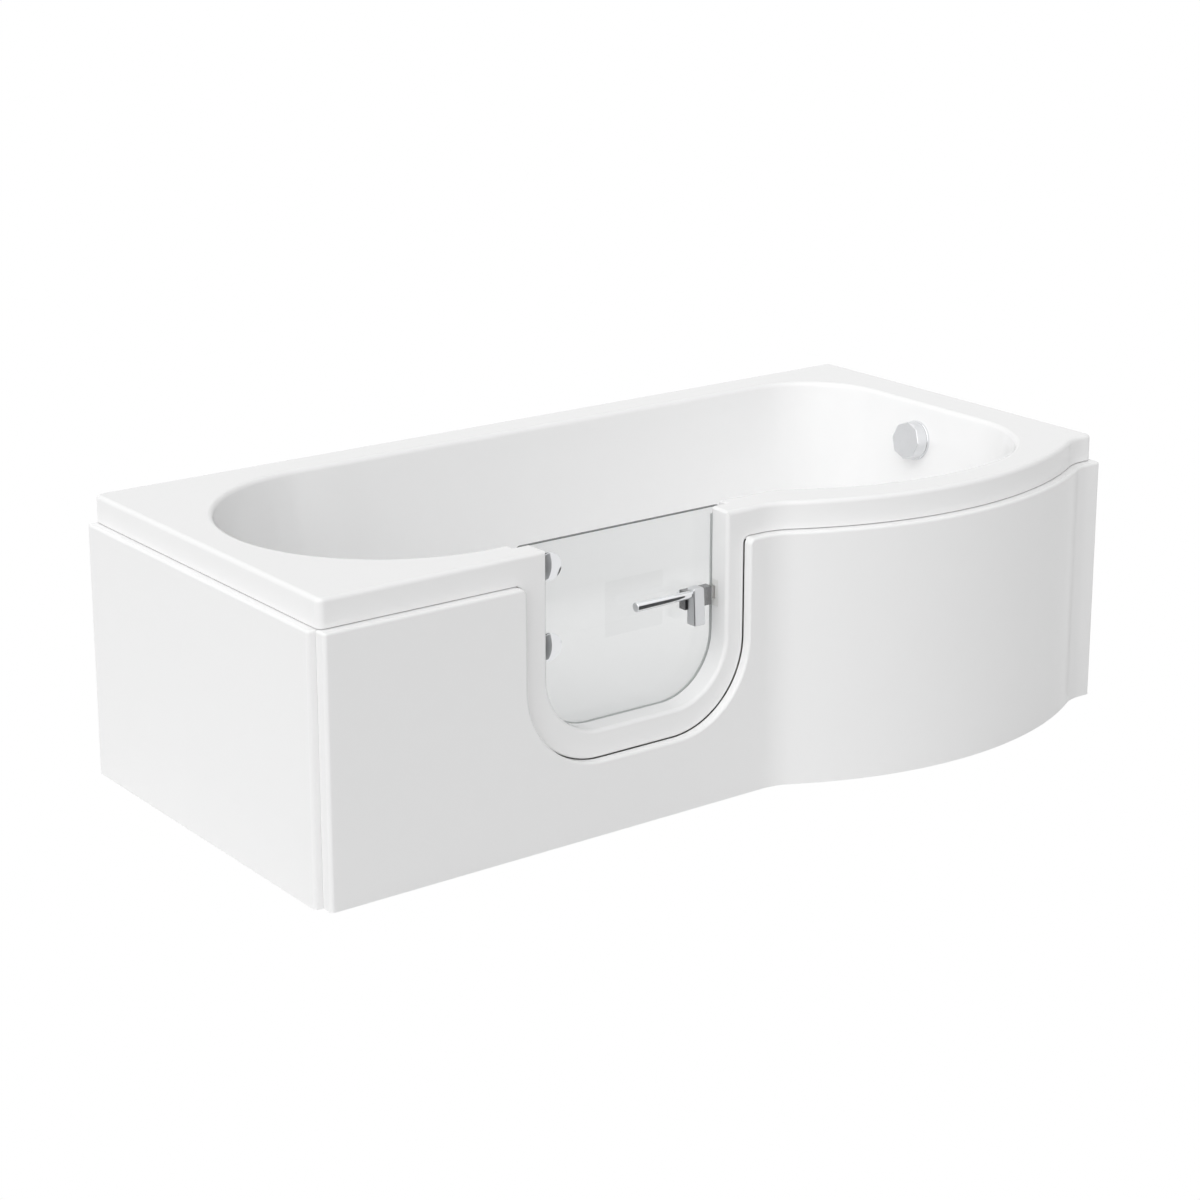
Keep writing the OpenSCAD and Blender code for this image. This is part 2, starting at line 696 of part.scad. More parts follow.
module door_glass() in_frame() color("lightblue", 0.35) difference() {
    along_y(glass_y, glass_in) difference() {
        door_u(glass_lap, glass_top);
        for (side = [-1, 1]) {
            x = side < 0 ? glass_l : door_r + glass_lap;
            translate([x - side * glass_top_r, glass_top - glass_top_r]) difference() {
                translate([side < 0 ? -glass_top_r - eps : 0, 0])
                    square([glass_top_r + eps, glass_top_r + eps]);
                circle(glass_top_r);
            }
        }
    }
    for (z = hinge_zs) rod_y(hinge_x, z, glass_y - eps, glass_in + eps, glass_hole_r);
    rod_y(latch_x, latch_z, glass_y - eps, glass_in + eps, bush_r + hole_play);
}

module door_seal() in_frame() color("gainsboro") along_y(glass_y - seal_t, glass_y) difference() {
    door_u(glass_lap - seal_edge, glass_top - glass_top_r);
    door_u(glass_lap - seal_edge - seal_w, rim_h);
}

// ---- hinges --------------------------------------------------------------------

// A straight link in plan from p to q, w wide
module link(p, q, w) translate(p) rotate(atan2(q[1] - p[1], q[0] - p[0]))
    translate([0, -w / 2]) square([norm(q - p), w]);

// The D-shaped end that the leaf and its washer share, drawn in X and Z
module d_end(r) {
    translate([hinge_x, 0]) circle(r);
    translate([glass_l + leaf_edge, -r]) square([hinge_x - glass_l - leaf_edge, 2 * r]);
}

module hinge_caps() in_frame() color("silver") for (z = hinge_zs) difference() {
    dome_r = (pow(hinge_cap_d / 2, 2) + pow(cap_dome_h, 2)) / (2 * cap_dome_h);
    translate([hinge_x, cap_y, z]) rotate([90, 0, 0]) intersection() {
        cylinder(h = hinge_cap_h, r = hinge_cap_d / 2, $fn = 96);
        translate([0, 0, hinge_cap_h - dome_r]) sphere(dome_r, $fn = 96);
    }
    rod_y(hinge_x, z, cap_y - hinge_cap_h / 2, cap_y + eps, screw_r + hole_play);
}

module hinge_washers() in_frame() color("dimgray") for (z = hinge_zs, y = [cap_y, glass_in])
    difference() {
        rod_y(hinge_x, z, y, y + washer_t, leaf_h / 2 - 1);
        rod_y(hinge_x, z, y - eps, y + washer_t + eps, screw_r + hole_play);
    }

module hinge_leaf(z) in_frame() color("silver") difference() {
    union() {
        translate([0, 0, z]) along_y(leaf_y, leaf_y + leaf_t) d_end(leaf_h / 2);
        translate([0, 0, z - knuckle_h / 2]) linear_extrude(height = knuckle_h) {
            elbow_p = [glass_l, wall_y + 3];
            arm_t = leaf_t + 1;
            translate([pin_x, pin_y]) circle(knuckle_r);
            link([pin_x, pin_y], elbow_p, arm_t);
            translate(elbow_p) circle(0.6 * arm_t);
            link(elbow_p, [glass_l + leaf_edge + leaf_t / 2, leaf_y + leaf_t / 2], arm_t);
        }
    }
    rod_z(pin_x, pin_y, z - knuckle_h, z + knuckle_h, pin_d / 2 + pin_play);
    rod_y(hinge_x, z, leaf_y - eps, leaf_y + leaf_t + eps, screw_r + hole_play);
}
module hinge_leaf_upper() hinge_leaf(hinge_z_top);
module hinge_leaf_lower() hinge_leaf(hinge_z_low);

module hinge_screws() in_frame() color("silver") for (z = hinge_zs) {
    rod_y(hinge_x, z, cap_y - hinge_cap_h / 2, leaf_y + leaf_t, screw_r);
    rod_y(hinge_x, z, leaf_y + leaf_t, leaf_y + leaf_t + 3, 2 * screw_r);
}

// The two screws of the hinge bracket at height z
module bracket_screws(z, y0, y1, r) for (dz = [-1, 1])
    rod_y(pin_x - plate_x, z + dz * plate_h / 3.5, y0, y1, r);
module bracket_screw_holes(z, y0, y1) bracket_screws(z, y0, y1, bracket_screw_r + hole_play);

module hinge_bracket(z) in_frame() color("silver") difference() {
    union() {
        translate([pin_x - plate_x - plate_w / 2, wall_y, z - plate_h / 2])
            cube([plate_w, plate_t, plate_h]);
        for (z0 = [knuckle_h / 2 + play_z, -knuckle_h / 2 - play_z - ear_h])
            translate([0, 0, z + z0]) linear_extrude(height = ear_h) {
                translate([pin_x, pin_y]) circle(knuckle_r);
                polygon([[pin_x - plate_x + ear_in, wall_y + 1],
                    [pin_x - plate_x + plate_w / 2, wall_y + 1],
                    [pin_x + knuckle_r, pin_y], [pin_x - 3, pin_y + knuckle_r - 0.7]]);
            }
    }
    rod_z(pin_x, pin_y, z - plate_h, z + plate_h, pin_d / 2 + pin_play);
    bracket_screw_holes(z, wall_y - eps, wall_y + plate_t + eps);
}
module hinge_bracket_upper() hinge_bracket(hinge_z_top);
module hinge_bracket_lower() hinge_bracket(hinge_z_low);

module hinge_pin(z) in_frame() color("silver") {
    reach = knuckle_h / 2 + play_z + ear_h;
    rod_z(pin_x, pin_y, z - reach, z + reach, pin_d / 2);
    rod_z(pin_x, pin_y, z + reach, z + reach + 2, pin_d / 2 + 2);
}
module hinge_pin_upper() hinge_pin(hinge_z_top);
module hinge_pin_lower() hinge_pin(hinge_z_low);

module hinge_bracket_screws() in_frame() color("silver") for (z = hinge_zs) {
    bracket_screws(z, backing_y, wall_y + plate_t, bracket_screw_r);
    bracket_screws(z, wall_y + plate_t, wall_y + plate_t + 2.5, 2 * bracket_screw_r);
}

module hinge_backing_plate() in_frame() color("gray") difference() {
    translate([pin_x - plate_x - plate_w / 2, backing_y, hinge_z_low - plate_h / 2])
        cube([plate_w, wall_y - shell_t - backing_y, hinge_z_top - hinge_z_low + plate_h]);
    for (z = hinge_zs) bracket_screw_holes(z, backing_y - eps, wall_y);
}

// ---- latch ---------------------------------------------------------------------

module latch_lever() in_frame() color("silver") difference() {
    intersection() {
        along_y(lever_back - lever_d, lever_back) translate([latch_x, latch_z]) difference() {
            translate([-lever_w / 2, -lever_down]) square([lever_w, lever_down + lever_up]);
            for (side = [-1, 1]) translate([side * (lever_w / 2 - lever_top_r), lever_up - lever_top_r])
                difference() {
                    translate([side < 0 ? -lever_top_r - eps : 0, 0])
                        square([lever_top_r + eps, lever_top_r + eps]);
                    circle(lever_top_r);
                }
        }
        translate([latch_x - lever_w, 0, latch_z]) rotate([90, 0, 90])
            linear_extrude(height = 2 * lever_w) polygon([
                [lever_back, -lever_down], [lever_back, lever_up],
                [lever_back - lever_d_top, lever_up], [lever_back - lever_d, -lever_down]]);
    }
    rod_y(latch_x, latch_z, lever_back - spindle_in, lever_back + eps, spindle_d / 2 + hole_play);
}

module handle_bar() in_frame() color("silver")
    translate([latch_x - lever_w / 2 - bar_l, lever_back - bar_in, latch_z + bar_up])
        rotate([0, 90, 0]) {
            cylinder(h = 1.5, r1 = bar_d / 2 - 1.5, r2 = bar_d / 2);
            translate([0, 0, 1.5]) cylinder(h = bar_l - 1.5, r1 = bar_d / 2, r2 = bar_root_d / 2);
        }

// The spindle with the crank that drives the bolt, made in one piece
module latch_spindle() in_frame() color("silver") {
    a = 45;
    rod_y(latch_x, latch_z, lever_back - spindle_in, knob_inner_y + 6, spindle_d / 2);
    translate([latch_x, crank_y, latch_z]) rotate([0, a, 0])
        translate([-crank_r, 0, -crank_pin_r]) cube([crank_r, crank_t, 2 * crank_pin_r]);
    rod_y(latch_x - crank_r * cos(a), latch_z + crank_r * sin(a),
        bolt_y + 0.5, crank_y + crank_t, crank_pin_r);
}

module latch_housing() in_frame() color("silver") difference() {
    x0 = latch_x - housing_l;
    x1 = latch_x + housing_r;
    z0 = housing_z - housing_h / 2;
    w = housing_wall;
    translate([x0, housing_y, z0]) cube([x1 - x0, glass_y - housing_y, housing_h]);
    translate([x0 + w, housing_y + w, z0 + w])
        cube([x1 - x0 - 2 * w, housing_d, housing_h - 2 * w]);
    translate([x1 - 2 * w, bolt_y - bolt_gap, bolt_low - bolt_gap])
        cube([3 * w, bolt_t + 2 * bolt_gap, bolt_high - bolt_low + 2 * bolt_gap]);
    rod_y(latch_x, latch_z, housing_y - eps, housing_y + 2 * w, spindle_d / 2 + 0.4);
}

module latch_bush() in_frame() color("whitesmoke") difference() {
    union() {
        rod_y(latch_x, latch_z, glass_y - 2, glass_in, bush_r);
        rod_y(latch_x, latch_z, glass_in, glass_in + 2, bush_r + 4);
    }
    rod_y(latch_x, latch_z, glass_y - 3, glass_in + 3, spindle_d / 2 + spindle_play);
}

module latch_bolt() in_frame() color("silver") difference() {
    tail_low = latch_z + spindle_d / 2 + 0.5;
    tail_x = latch_x - bolt_travel / 2 - crank_pin_r - 3;
    slot_w = 2 * crank_pin_r + 2 * slot_play;
    slot_top = latch_z + crank_r + crank_pin_r + 0.5;
    union() {
        translate([latch_x + spindle_d / 2 + 3, bolt_y, bolt_low])
            cube([bolt_tip - latch_x - spindle_d / 2 - 3, bolt_t, bolt_high - bolt_low]);
        translate([tail_x, bolt_y, tail_low])
            cube([latch_x + spindle_d - tail_x, bolt_t, bolt_high - tail_low]);
    }
    translate([latch_x - bolt_travel / 2 - slot_w / 2, bolt_y - eps, tail_low - eps])
        cube([slot_w, bolt_t + 2 * eps, slot_top - tail_low + eps]);
}

module latch_inner_knob() in_frame() color("silver") difference() {
    rod_y(latch_x, latch_z, knob_inner_y, knob_inner_y + 10, bush_r + 3);
    rod_y(latch_x, latch_z, knob_inner_y - eps, knob_inner_y + 6, spindle_d / 2 + hole_play);
}

// The strike plate's block from x0 past the opening's right side, grown by g
module strike_block(x0, g) translate([door_r + x0, bolt_y - 9 - g, bolt_low - strike_edge - g])
    cube([strike_t - x0, reveal_d - 3 - bolt_y + 9 + 2 * g, bolt_high - bolt_low + 2 * (strike_edge + g)]);

// Let in flush with the opening's side
module strike_plate() in_frame() color("white") difference() {
    strike_block(0, 0);
    strike_hole(door_r - strike_t, door_r + 2 * strike_t);
}

// ---- underframe ----------------------------------------------------------------

module base_board() in_frame() color("burlywood")
    translate([board_x0, board_y0, board_top - board_t])
        cube([board_x1 - board_x0, board_y1 - board_y0, board_t]);

module frame_rail(y) in_frame() color("gray") translate([rail_x0, y, rail_z]) tube_x(rail_x1 - rail_x0);
module frame_rail_front() frame_rail(rail_ys[0]);
module frame_rail_back() frame_rail(rail_ys[1]);

module cross_member(x) in_frame() color("gray") difference() {
    translate([x, cross_y0, cross_z]) tube_y(cross_y1 - cross_y0);
    for (y = foot_ys)
        rod_z(x + tube / 2, y, cross_z - eps, cross_z + tube + eps, foot_screw_d / 2 + hole_play);
}
module cross_member_left() cross_member(cross_xs[0]);
module cross_member_middle() cross_member(cross_xs[1]);
module cross_member_right() cross_member(cross_xs[2]);

// A row of posts from the cross members up to the underside of the rim
module rim_posts(y) in_frame() color("gray") for (x = cross_xs)
    translate([x + (tube - post) / 2, y, cross_z + tube]) difference() {
        h = rim_h - shell_t - cross_z - tube;
        cube([post, post, h]);
        translate([tube_wall, tube_wall, -eps])
            cube([post - 2 * tube_wall, post - 2 * tube_wall, h + 2 * eps]);
    }
module rim_posts_front() rim_posts(post_y_front);
module rim_posts_back() rim_posts(post_y_back);

module foot_screw(i) in_frame() color("silver")
    rod_z(cross_xs[floor(i / 2)] + tube / 2, foot_ys[i % 2], foot_h - foot_socket,
        cross_z + tube + nut_t + 3, foot_screw_d / 2);

module foot_pad(i) in_frame() color("dimgray")
    translate([cross_xs[floor(i / 2)] + tube / 2, foot_ys[i % 2], 0]) difference() {
        union() {
            cylinder(h = foot_h / 2, r = foot_d / 2);
            translate([0, 0, foot_h / 2])
                cylinder(h = foot_h / 2, r1 = foot_d / 2, r2 = foot_screw_d);
        }
        translate([0, 0, foot_h - foot_socket]) cylinder(h = foot_h, r = foot_screw_d / 2 + hole_play);
    }

module lock_nuts() in_frame() color("silver")
    for (x = cross_xs, y = foot_ys, z = [cross_z - nut_t, cross_z + tube])
        translate([x + tube / 2, y, z]) difference() {
            cylinder(h = nut_t, r = nut_r, $fn = 6);
            translate([0, 0, -eps]) cylinder(h = nut_t + 2 * eps, r = foot_screw_d / 2 + hole_play);
        }

// Clips on the front posts that hold the panel's top edge
module panel_clips() in_frame() color("gray") for (x = cross_xs)
    translate([x + (tube - post) / 2, 0, 0]) {
        translate([0, clip_y, panel_h - panel_t - clip_t]) cube([post, post_y_front - clip_y, clip_t]);
        translate([0, post_y_front - clip_t, panel_h - panel_t - post]) cube([post, clip_t, post - clip_t]);
    }

// An angle on a back post, screwed to the wall of the room
module wall_bracket(x) in_frame() color("gray") difference() {
    z0 = under_rim_z - bracket_h;
    translate([x + tube / 2 - bracket_w / 2, bath_w - clip_t, z0]) cube([bracket_w, clip_t, bracket_h]);
    for (dx = [-1, 1]) rod_y(x + tube / 2 + dx * bracket_pitch / 2, z0 + bracket_h / 2,
        bath_w - clip_t - eps, bath_w + eps, bracket_hole_d / 2);
}
module bracket_arm(x) in_frame() color("gray")
    translate([x + tube / 2 - post / 2, post_y_back + post, under_rim_z - post])
        cube([post, bath_w - clip_t - post_y_back - post, post]);
module wall_bracket_left() { wall_bracket(cross_xs[0]); bracket_arm(cross_xs[0]); }
module wall_bracket_right() { wall_bracket(cross_xs[2]); bracket_arm(cross_xs[2]); }

// ---- waste ---------------------------------------------------------------------

// A quarter or half bend of pipe about the origin in X and Z, from angle a by turn
module bend(bend_r, r, wall, a, turn) rotate([90, -a, 0]) rotate_extrude(angle = turn, $fn = 64)
    translate([bend_r, 0]) difference() {
        circle(r);
        circle(r - wall);
    }

module pipe_z(x, y, z0, z1, r, wall) difference() {
    rod_z(x, y, z0, z1, r);
    rod_z(x, y, z0 - eps, z1 + eps, r - wall);
}
module pipe_x(y, z, x0, x1, r, wall) difference() {
    rod_x(y, z, x0, x1, r);
    rod_x(y, z, x0 - eps, x1 + eps, r - wall);
}

module waste_flange() in_frame() color("silver") difference() {
    union() {
        rod_z(waste_x, waste_y, basin_floor_z, basin_floor_z + waste_t, waste_flange_d / 2);
        rod_z(waste_x, waste_y, board_top - flange_in, basin_floor_z, waste_body_r - hole_play);
    }
    rod_z(waste_x, waste_y, board_top - 2 * flange_in, basin_floor_z + waste_t + eps, waste_body_r - 3);
}

// The waste's body under the basin, with a bar across it that guides the plug's stem
// and a branch for the overflow tube
module waste_body() in_frame() color("whitesmoke") difference() {
    union() {
        rod_z(waste_x, waste_y, board_top - 4, board_top, waste_flange_d / 2);
        rod_z(waste_x, waste_y, waste_low, board_top - 4, waste_body_r + 4);
        rod_x(waste_y, overflow_low, waste_x + waste_body_r - 1, branch_x, overflow_d / 2 + 2);
    }
    difference() {
        rod_z(waste_x, waste_y, waste_low + 3, board_top - flange_in, waste_body_r - 3);
        translate([waste_x - guide_t / 2, waste_y - waste_body_r, guide_z])
            cube([guide_t, 2 * waste_body_r, guide_t]);
        rod_z(waste_x, waste_y, guide_z, guide_z + guide_t, stem_r + 3);
    }
    rod_z(waste_x, waste_y, board_top - flange_in, board_top + eps, waste_body_r);
    rod_z(waste_x, waste_y, waste_low - eps, waste_low + 4, trap_d / 2 - trap_wall);
    rod_z(waste_x, waste_y, guide_z - eps, guide_z + guide_t + eps, stem_r + stem_play);
    rod_x(waste_y, overflow_low, waste_x + waste_body_r - 6, branch_x + eps,
        overflow_d / 2 - trap_wall);
}

module waste_plug() in_frame() color("silver") {
    low = basin_floor_z + waste_t + plug_gap;
    rod_z(waste_x, waste_y, low, low + plug_t, plug_r);
    rod_z(waste_x, waste_y, guide_z - plug_lift - 3, low, stem_r);
}

module trap() in_frame() color("whitesmoke") {
    r = trap_d / 2;
    pipe_z(waste_x, waste_y, trap_z, waste_low, r, trap_wall);
    translate([waste_x, waste_y + trap_bend_r, trap_z]) rotate([0, 0, 90])
        bend(trap_bend_r, r, trap_wall, 180, 180);
    translate([waste_x + outlet_bend_r, outlet_y, trap_z])
        bend(outlet_bend_r, r, trap_wall, 90, 90);
    pipe_x(outlet_y, outlet_z, waste_x + outlet_bend_r, outlet_x - socket_l, r, trap_wall);
    difference() {
        rod_x(outlet_y, outlet_z, outlet_x - socket_l, outlet_x, r + 5);
        rod_x(outlet_y, outlet_z, outlet_x - socket_l - eps, outlet_x + eps, r + socket_play);
    }
    difference() {
        rod_x(outlet_y, outlet_z, outlet_x - socket_l - 5, outlet_x - socket_l, r + 5);
        rod_x(outlet_y, outlet_z, outlet_x - socket_l - 5 - eps, outlet_x, r - trap_wall);
    }
}

// ---- overflow and its control --------------------------------------------------

// The control's place on the leaning end wall, with -X pointing into the basin
module knob_place() translate([knob_wall_x, knob_y, knob_z]) rotate([0, knob_tilt, 0]) children();

module overflow_rose() in_frame() color("gray") knob_place() difference() {
    rod_x(0, 0, -rose_t, -rose_gap, knob_d / 2 + 1);
    rod_x(0, 0, -rose_t - eps, eps, knob_stem_r + knob_play);
}

// A round knob whose face has eight sides
module control_knob() in_frame() color("silver") knob_place() {
    base = -rose_t - knob_play;
    hull() {
        rod_x(0, 0, base - 1, base, knob_d / 2);
        translate([base - knob_depth, 0, 0]) rotate([22.5, 0, 0]) rotate([0, 90, 0])
            cylinder(h = 1, r = knob_d / 2 - 1, $fn = 8);
    }
    rod_x(0, 0, base, shell_t + 20, knob_stem_r);
}

module overflow_body() in_frame() color("whitesmoke") difference() {
    union() {
        knob_place() rod_x(0, 0, shell_t + gasket_t, overflow_body_d, 30);
        rod_z(overflow_x, knob_y, overflow_top, knob_z, overflow_d / 2 + 3);
        rod_z(cable_x, knob_y, overflow_top, knob_z - 20, cable_d / 2 + 1.5);
    }
    knob_place() rod_x(0, 0, shell_t - eps, shell_t + 22, knob_stem_r + spindle_play);
    knob_place() rod_x(0, 0, -2 * shell_t, shell_t + gasket_t, 60);
    rod_z(overflow_x, knob_y, overflow_top - eps, knob_z - 15, overflow_d / 2 - trap_wall);
}

module overflow_tube() in_frame() color("whitesmoke") {
    r = overflow_d / 2;
    pipe_z(overflow_x, knob_y, overflow_low + overflow_bend_r, overflow_top, r, trap_wall);
    translate([overflow_x - overflow_bend_r, knob_y, overflow_low + overflow_bend_r])
        bend(overflow_bend_r, r, trap_wall, 270, 90);
    pipe_x(waste_y, overflow_low, branch_x, overflow_x - overflow_bend_r, r, trap_wall);
}

module control_cable() in_frame() color("dimgray") {
    z = overflow_low + overflow_d / 2 + cable_d / 2 + 3;
    bend_r = overflow_bend_r - overflow_d / 2 - cable_d / 2 - 1;
    rod_z(cable_x, knob_y, z + bend_r, overflow_top, cable_d / 2);
    translate([cable_x - bend_r, knob_y, z + bend_r]) bend(bend_r, cable_d / 2, cable_d / 2, 270, 90);
    rod_x(waste_y, z, waste_x + waste_body_r + 4, cable_x - bend_r, cable_d / 2);
}

// ---- pieces --------------------------------------------------------------------

bath_shell();
door_surround();
front_panel();
end_panel();
door_stiffener();
door_glass();
door_seal();
hinge_caps();
hinge_washers();
hinge_leaf_upper();
hinge_leaf_lower();
hinge_screws();
hinge_bracket_upper();
hinge_bracket_lower();
hinge_pin_upper();
hinge_pin_lower();
hinge_bracket_screws();
hinge_backing_plate();
latch_lever();
handle_bar();
latch_spindle();
latch_housing();
latch_bush();
latch_bolt();
latch_inner_knob();
strike_plate();
base_board();
frame_rail_front();
frame_rail_back();
cross_member_left();
cross_member_middle();
cross_member_right();
rim_posts_front();
rim_posts_back();
lock_nuts();
panel_clips();
wall_bracket_left();
wall_bracket_right();
waste_flange();
waste_body();
waste_plug();
trap();
overflow_rose();
control_knob();
overflow_body();
overflow_tube();
control_cable();
for (i = [0:5]) foot_screw(i);
for (i = [0:5]) foot_pad(i);
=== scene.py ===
"""The looks of a walk-in bath with a glass door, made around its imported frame."""

import json
import math

import bmesh
import bpy
from bpy.props import FloatProperty, FloatVectorProperty, PointerProperty
from mathutils import Matrix, Vector


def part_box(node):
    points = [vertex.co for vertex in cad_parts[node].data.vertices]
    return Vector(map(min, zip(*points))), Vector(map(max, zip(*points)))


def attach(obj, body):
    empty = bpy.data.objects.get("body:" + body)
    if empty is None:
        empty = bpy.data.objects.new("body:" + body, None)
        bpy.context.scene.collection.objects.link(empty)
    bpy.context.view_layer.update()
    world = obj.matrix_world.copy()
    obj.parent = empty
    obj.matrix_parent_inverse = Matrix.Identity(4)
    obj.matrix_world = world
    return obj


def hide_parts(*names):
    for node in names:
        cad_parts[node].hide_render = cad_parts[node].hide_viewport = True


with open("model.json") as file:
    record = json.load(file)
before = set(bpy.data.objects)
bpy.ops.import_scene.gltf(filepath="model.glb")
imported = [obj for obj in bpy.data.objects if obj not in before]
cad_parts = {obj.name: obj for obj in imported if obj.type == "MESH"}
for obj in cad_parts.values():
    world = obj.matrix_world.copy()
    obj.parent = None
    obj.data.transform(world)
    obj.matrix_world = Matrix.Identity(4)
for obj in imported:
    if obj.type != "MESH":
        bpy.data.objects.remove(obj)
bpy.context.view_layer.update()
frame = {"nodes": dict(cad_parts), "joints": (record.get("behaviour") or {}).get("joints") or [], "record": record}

bl_info = {
    "name": "Walk-in Bath",
    "version": (1, 0, 0),
    "blender": (4, 5, 0),
    "location": "3D View > Sidebar > Bath",
    "description": "Builds a walk-in bath with a bowed front and a glass door around its frame",
    "category": "Add Mesh",
}

MM = 0.001
SKIN = 0.00002            # how far a rounded cut starts before the face that it rounds
PAST = 0.002              # how far a cut runs past a face


# ---- colours and properties ----------------------------------------------------------

def linear(code):
    """An sRGB hex colour as linear red, green and blue."""
    parts = [int(code[i:i + 2], 16) / 255 for i in (0, 2, 4)]
    return tuple(c / 12.92 if c <= 0.04045 else ((c + 0.055) / 1.055) ** 2.4 for c in parts)


def length(name, description, default):
    """A size in metres."""
    return FloatProperty(name=name, description=description, default=default, unit="LENGTH")


def angle(name, description, default):
    """An angle, given in degrees."""
    return FloatProperty(name=name, description=description, default=math.radians(default), unit="ROTATION")


def colour(name, description, code):
    """A colour, given as an sRGB hex code."""
    return FloatVectorProperty(name=name, description=description, subtype="COLOR", default=linear(code))


class BathRim(bpy.types.PropertyGroup):
    """Sizes of the rim and its bowed front"""
    straight_width: length("Straight width", "Width of the rim where its front is straight", 0.750)
    skirt: length("Skirt", "Height of the rim's outer skirt", 0.050)
    wall: length("Wall", "Thickness of the acrylic shell", 0.005)
    corner: length("Corner", "Radius of the rim's corners in plan", 0.013)
    edge: length("Edge", "Radius of the rim's outer top edge", 0.008)
    skirt_edge: length("Skirt edge", "Radius of the skirt's lower edge", 0.0015)
    bow_gap: length("Gap before the bow", "From the door opening to the start of the bow", 0.0715)
    bow_end: length("Gap after the bow", "From the end of the bow to the rim's right face", 0.0244)
    blend_left: length("Left blend", "Radius of the hollow blend on the left of the bow", 0.130)
    blend_right: length("Right blend", "Radius of the hollow blend on the right of the bow", 0.100)


class BathBasin(bpy.types.PropertyGroup):
    """Sizes of the basin inside the rim"""
    front: length("Front rim", "Width of the flat rim along the front", 0.059)
    back: length("Wall side rim", "Width of the flat rim along the wall side", 0.065)
    left: length("Left rim", "Width of the flat rim at the left end", 0.059)
    right: length("Right rim", "Width of the flat rim at the right end", 0.082)
    at_bow: length("Rim at the bow", "Width of the flat rim at the middle of the bow", 0.0585)
    floor: length("Floor", "Height of the basin floor", 0.135)
    roll: length("Rolled edge", "Radius of the rim's inner edge", 0.010)
    lean: length("Wall lean", "Lean of the wall side and the right end over their height", 0.045)
    back_lean: length("Backrest lean", "Extra lean of the backrest", 0.085)
    floor_edge: length("Floor edge", "Radius between the walls and the floor", 0.060)
    bow_gap: length("Gap before the bow", "From the door opening to the start of the basin's bow", 0.1225)
    bow_shift: length("Bow shift", "How far the basin's bow is to the right of the rim's", 0.017)
    blend: length("Blend", "Radius of the hollow blend left of the basin's bow", 0.100)
    corner_front: length("Front corner", "Radius of the basin's front right corner", 0.250)
    corner_back: length("Back corner", "Radius of the basin's back right corner", 0.165)


class BathDoorway(bpy.types.PropertyGroup):
    """Sizes of the door opening and of the glass that closes it"""
    lap: length("Glass lap", "How far the glass laps the opening", 0.027)
    corner: length("Corner", "Radius of the opening's bottom corners", 0.112)
    band_left: length("Band left", "Width of the moulded band on the left of the opening", 0.050)
    band_low: length("Band low", "Width of the moulded band under the opening", 0.049)
    band_right: length("Band right", "Width of the moulded band on the right of the opening", 0.037)
    band_corner: length("Band corner", "Radius of the band's bottom corners", 0.155)
    band_return: length("Band return", "Depth of the edge that turns in round the band", 0.012)
    band_edge: length("Band edge", "Radius of the band's outer edge", 0.003)
    edge: length("Opening edge", "Radius of the opening's front and top edges", 0.007)
    inner_edge: length("Inner edge", "Radius of the opening's inner edge", 0.003)
    recess: length("Recess", "Room round the glass in the face that it shuts on", 0.008)
    recess_end: length("Recess end", "Depth of the recess from the rim's front face", 0.093)
    recess_edge: length("Recess edge", "Radius of the recess's edge at the top of the rim", 0.004)
    seal_gap: length("Seal gap", "Gap between the seal and the face that it shuts on", 0.0003)
    glass_top: length("Glass corner", "Radius of the glass's top corners", 0.012)
    arris: length("Arris", "Width of the ground arris round the glass", 0.0008)
    seat_room: length("Seat room", "Room round the hinge brackets on their flat seat", 0.004)
    seat_depth: length("Seat depth", "Depth of the cut that makes the hinge brackets' seat", 0.015)
    bolt_play: length("Bolt play", "Room round the latch bolt in the shell", 0.001)
    bolt_room: length("Bolt room", "Room past the bolt's tip when it is shot", 0.004)
    strike_fit: length("Strike fit", "Room round the strike plate in the reveal", 0.0002)


class BathPanels(bpy.types.PropertyGroup):
    """Sizes of the front panel and the end panel"""
    thickness: length("Thickness", "Thickness of the panels", 0.004)
    fold: length("Return", "Depth of the edges that turn back round the panels", 0.025)
    gap: length("Gap", "Gap between the front panel and the band", 0.0007)
    edge: length("Upright edge", "Radius of the panels' upright corners", 0.007)
    top_edge: length("Top edge", "Radius of the panels' top edges", 0.005)
    cut_edge: length("Cut edge", "Radius of the front panel's edge round the band", 0.005)
    cut_corner: length("Cut corner", "Radius where the cut meets the panel's top", 0.012)


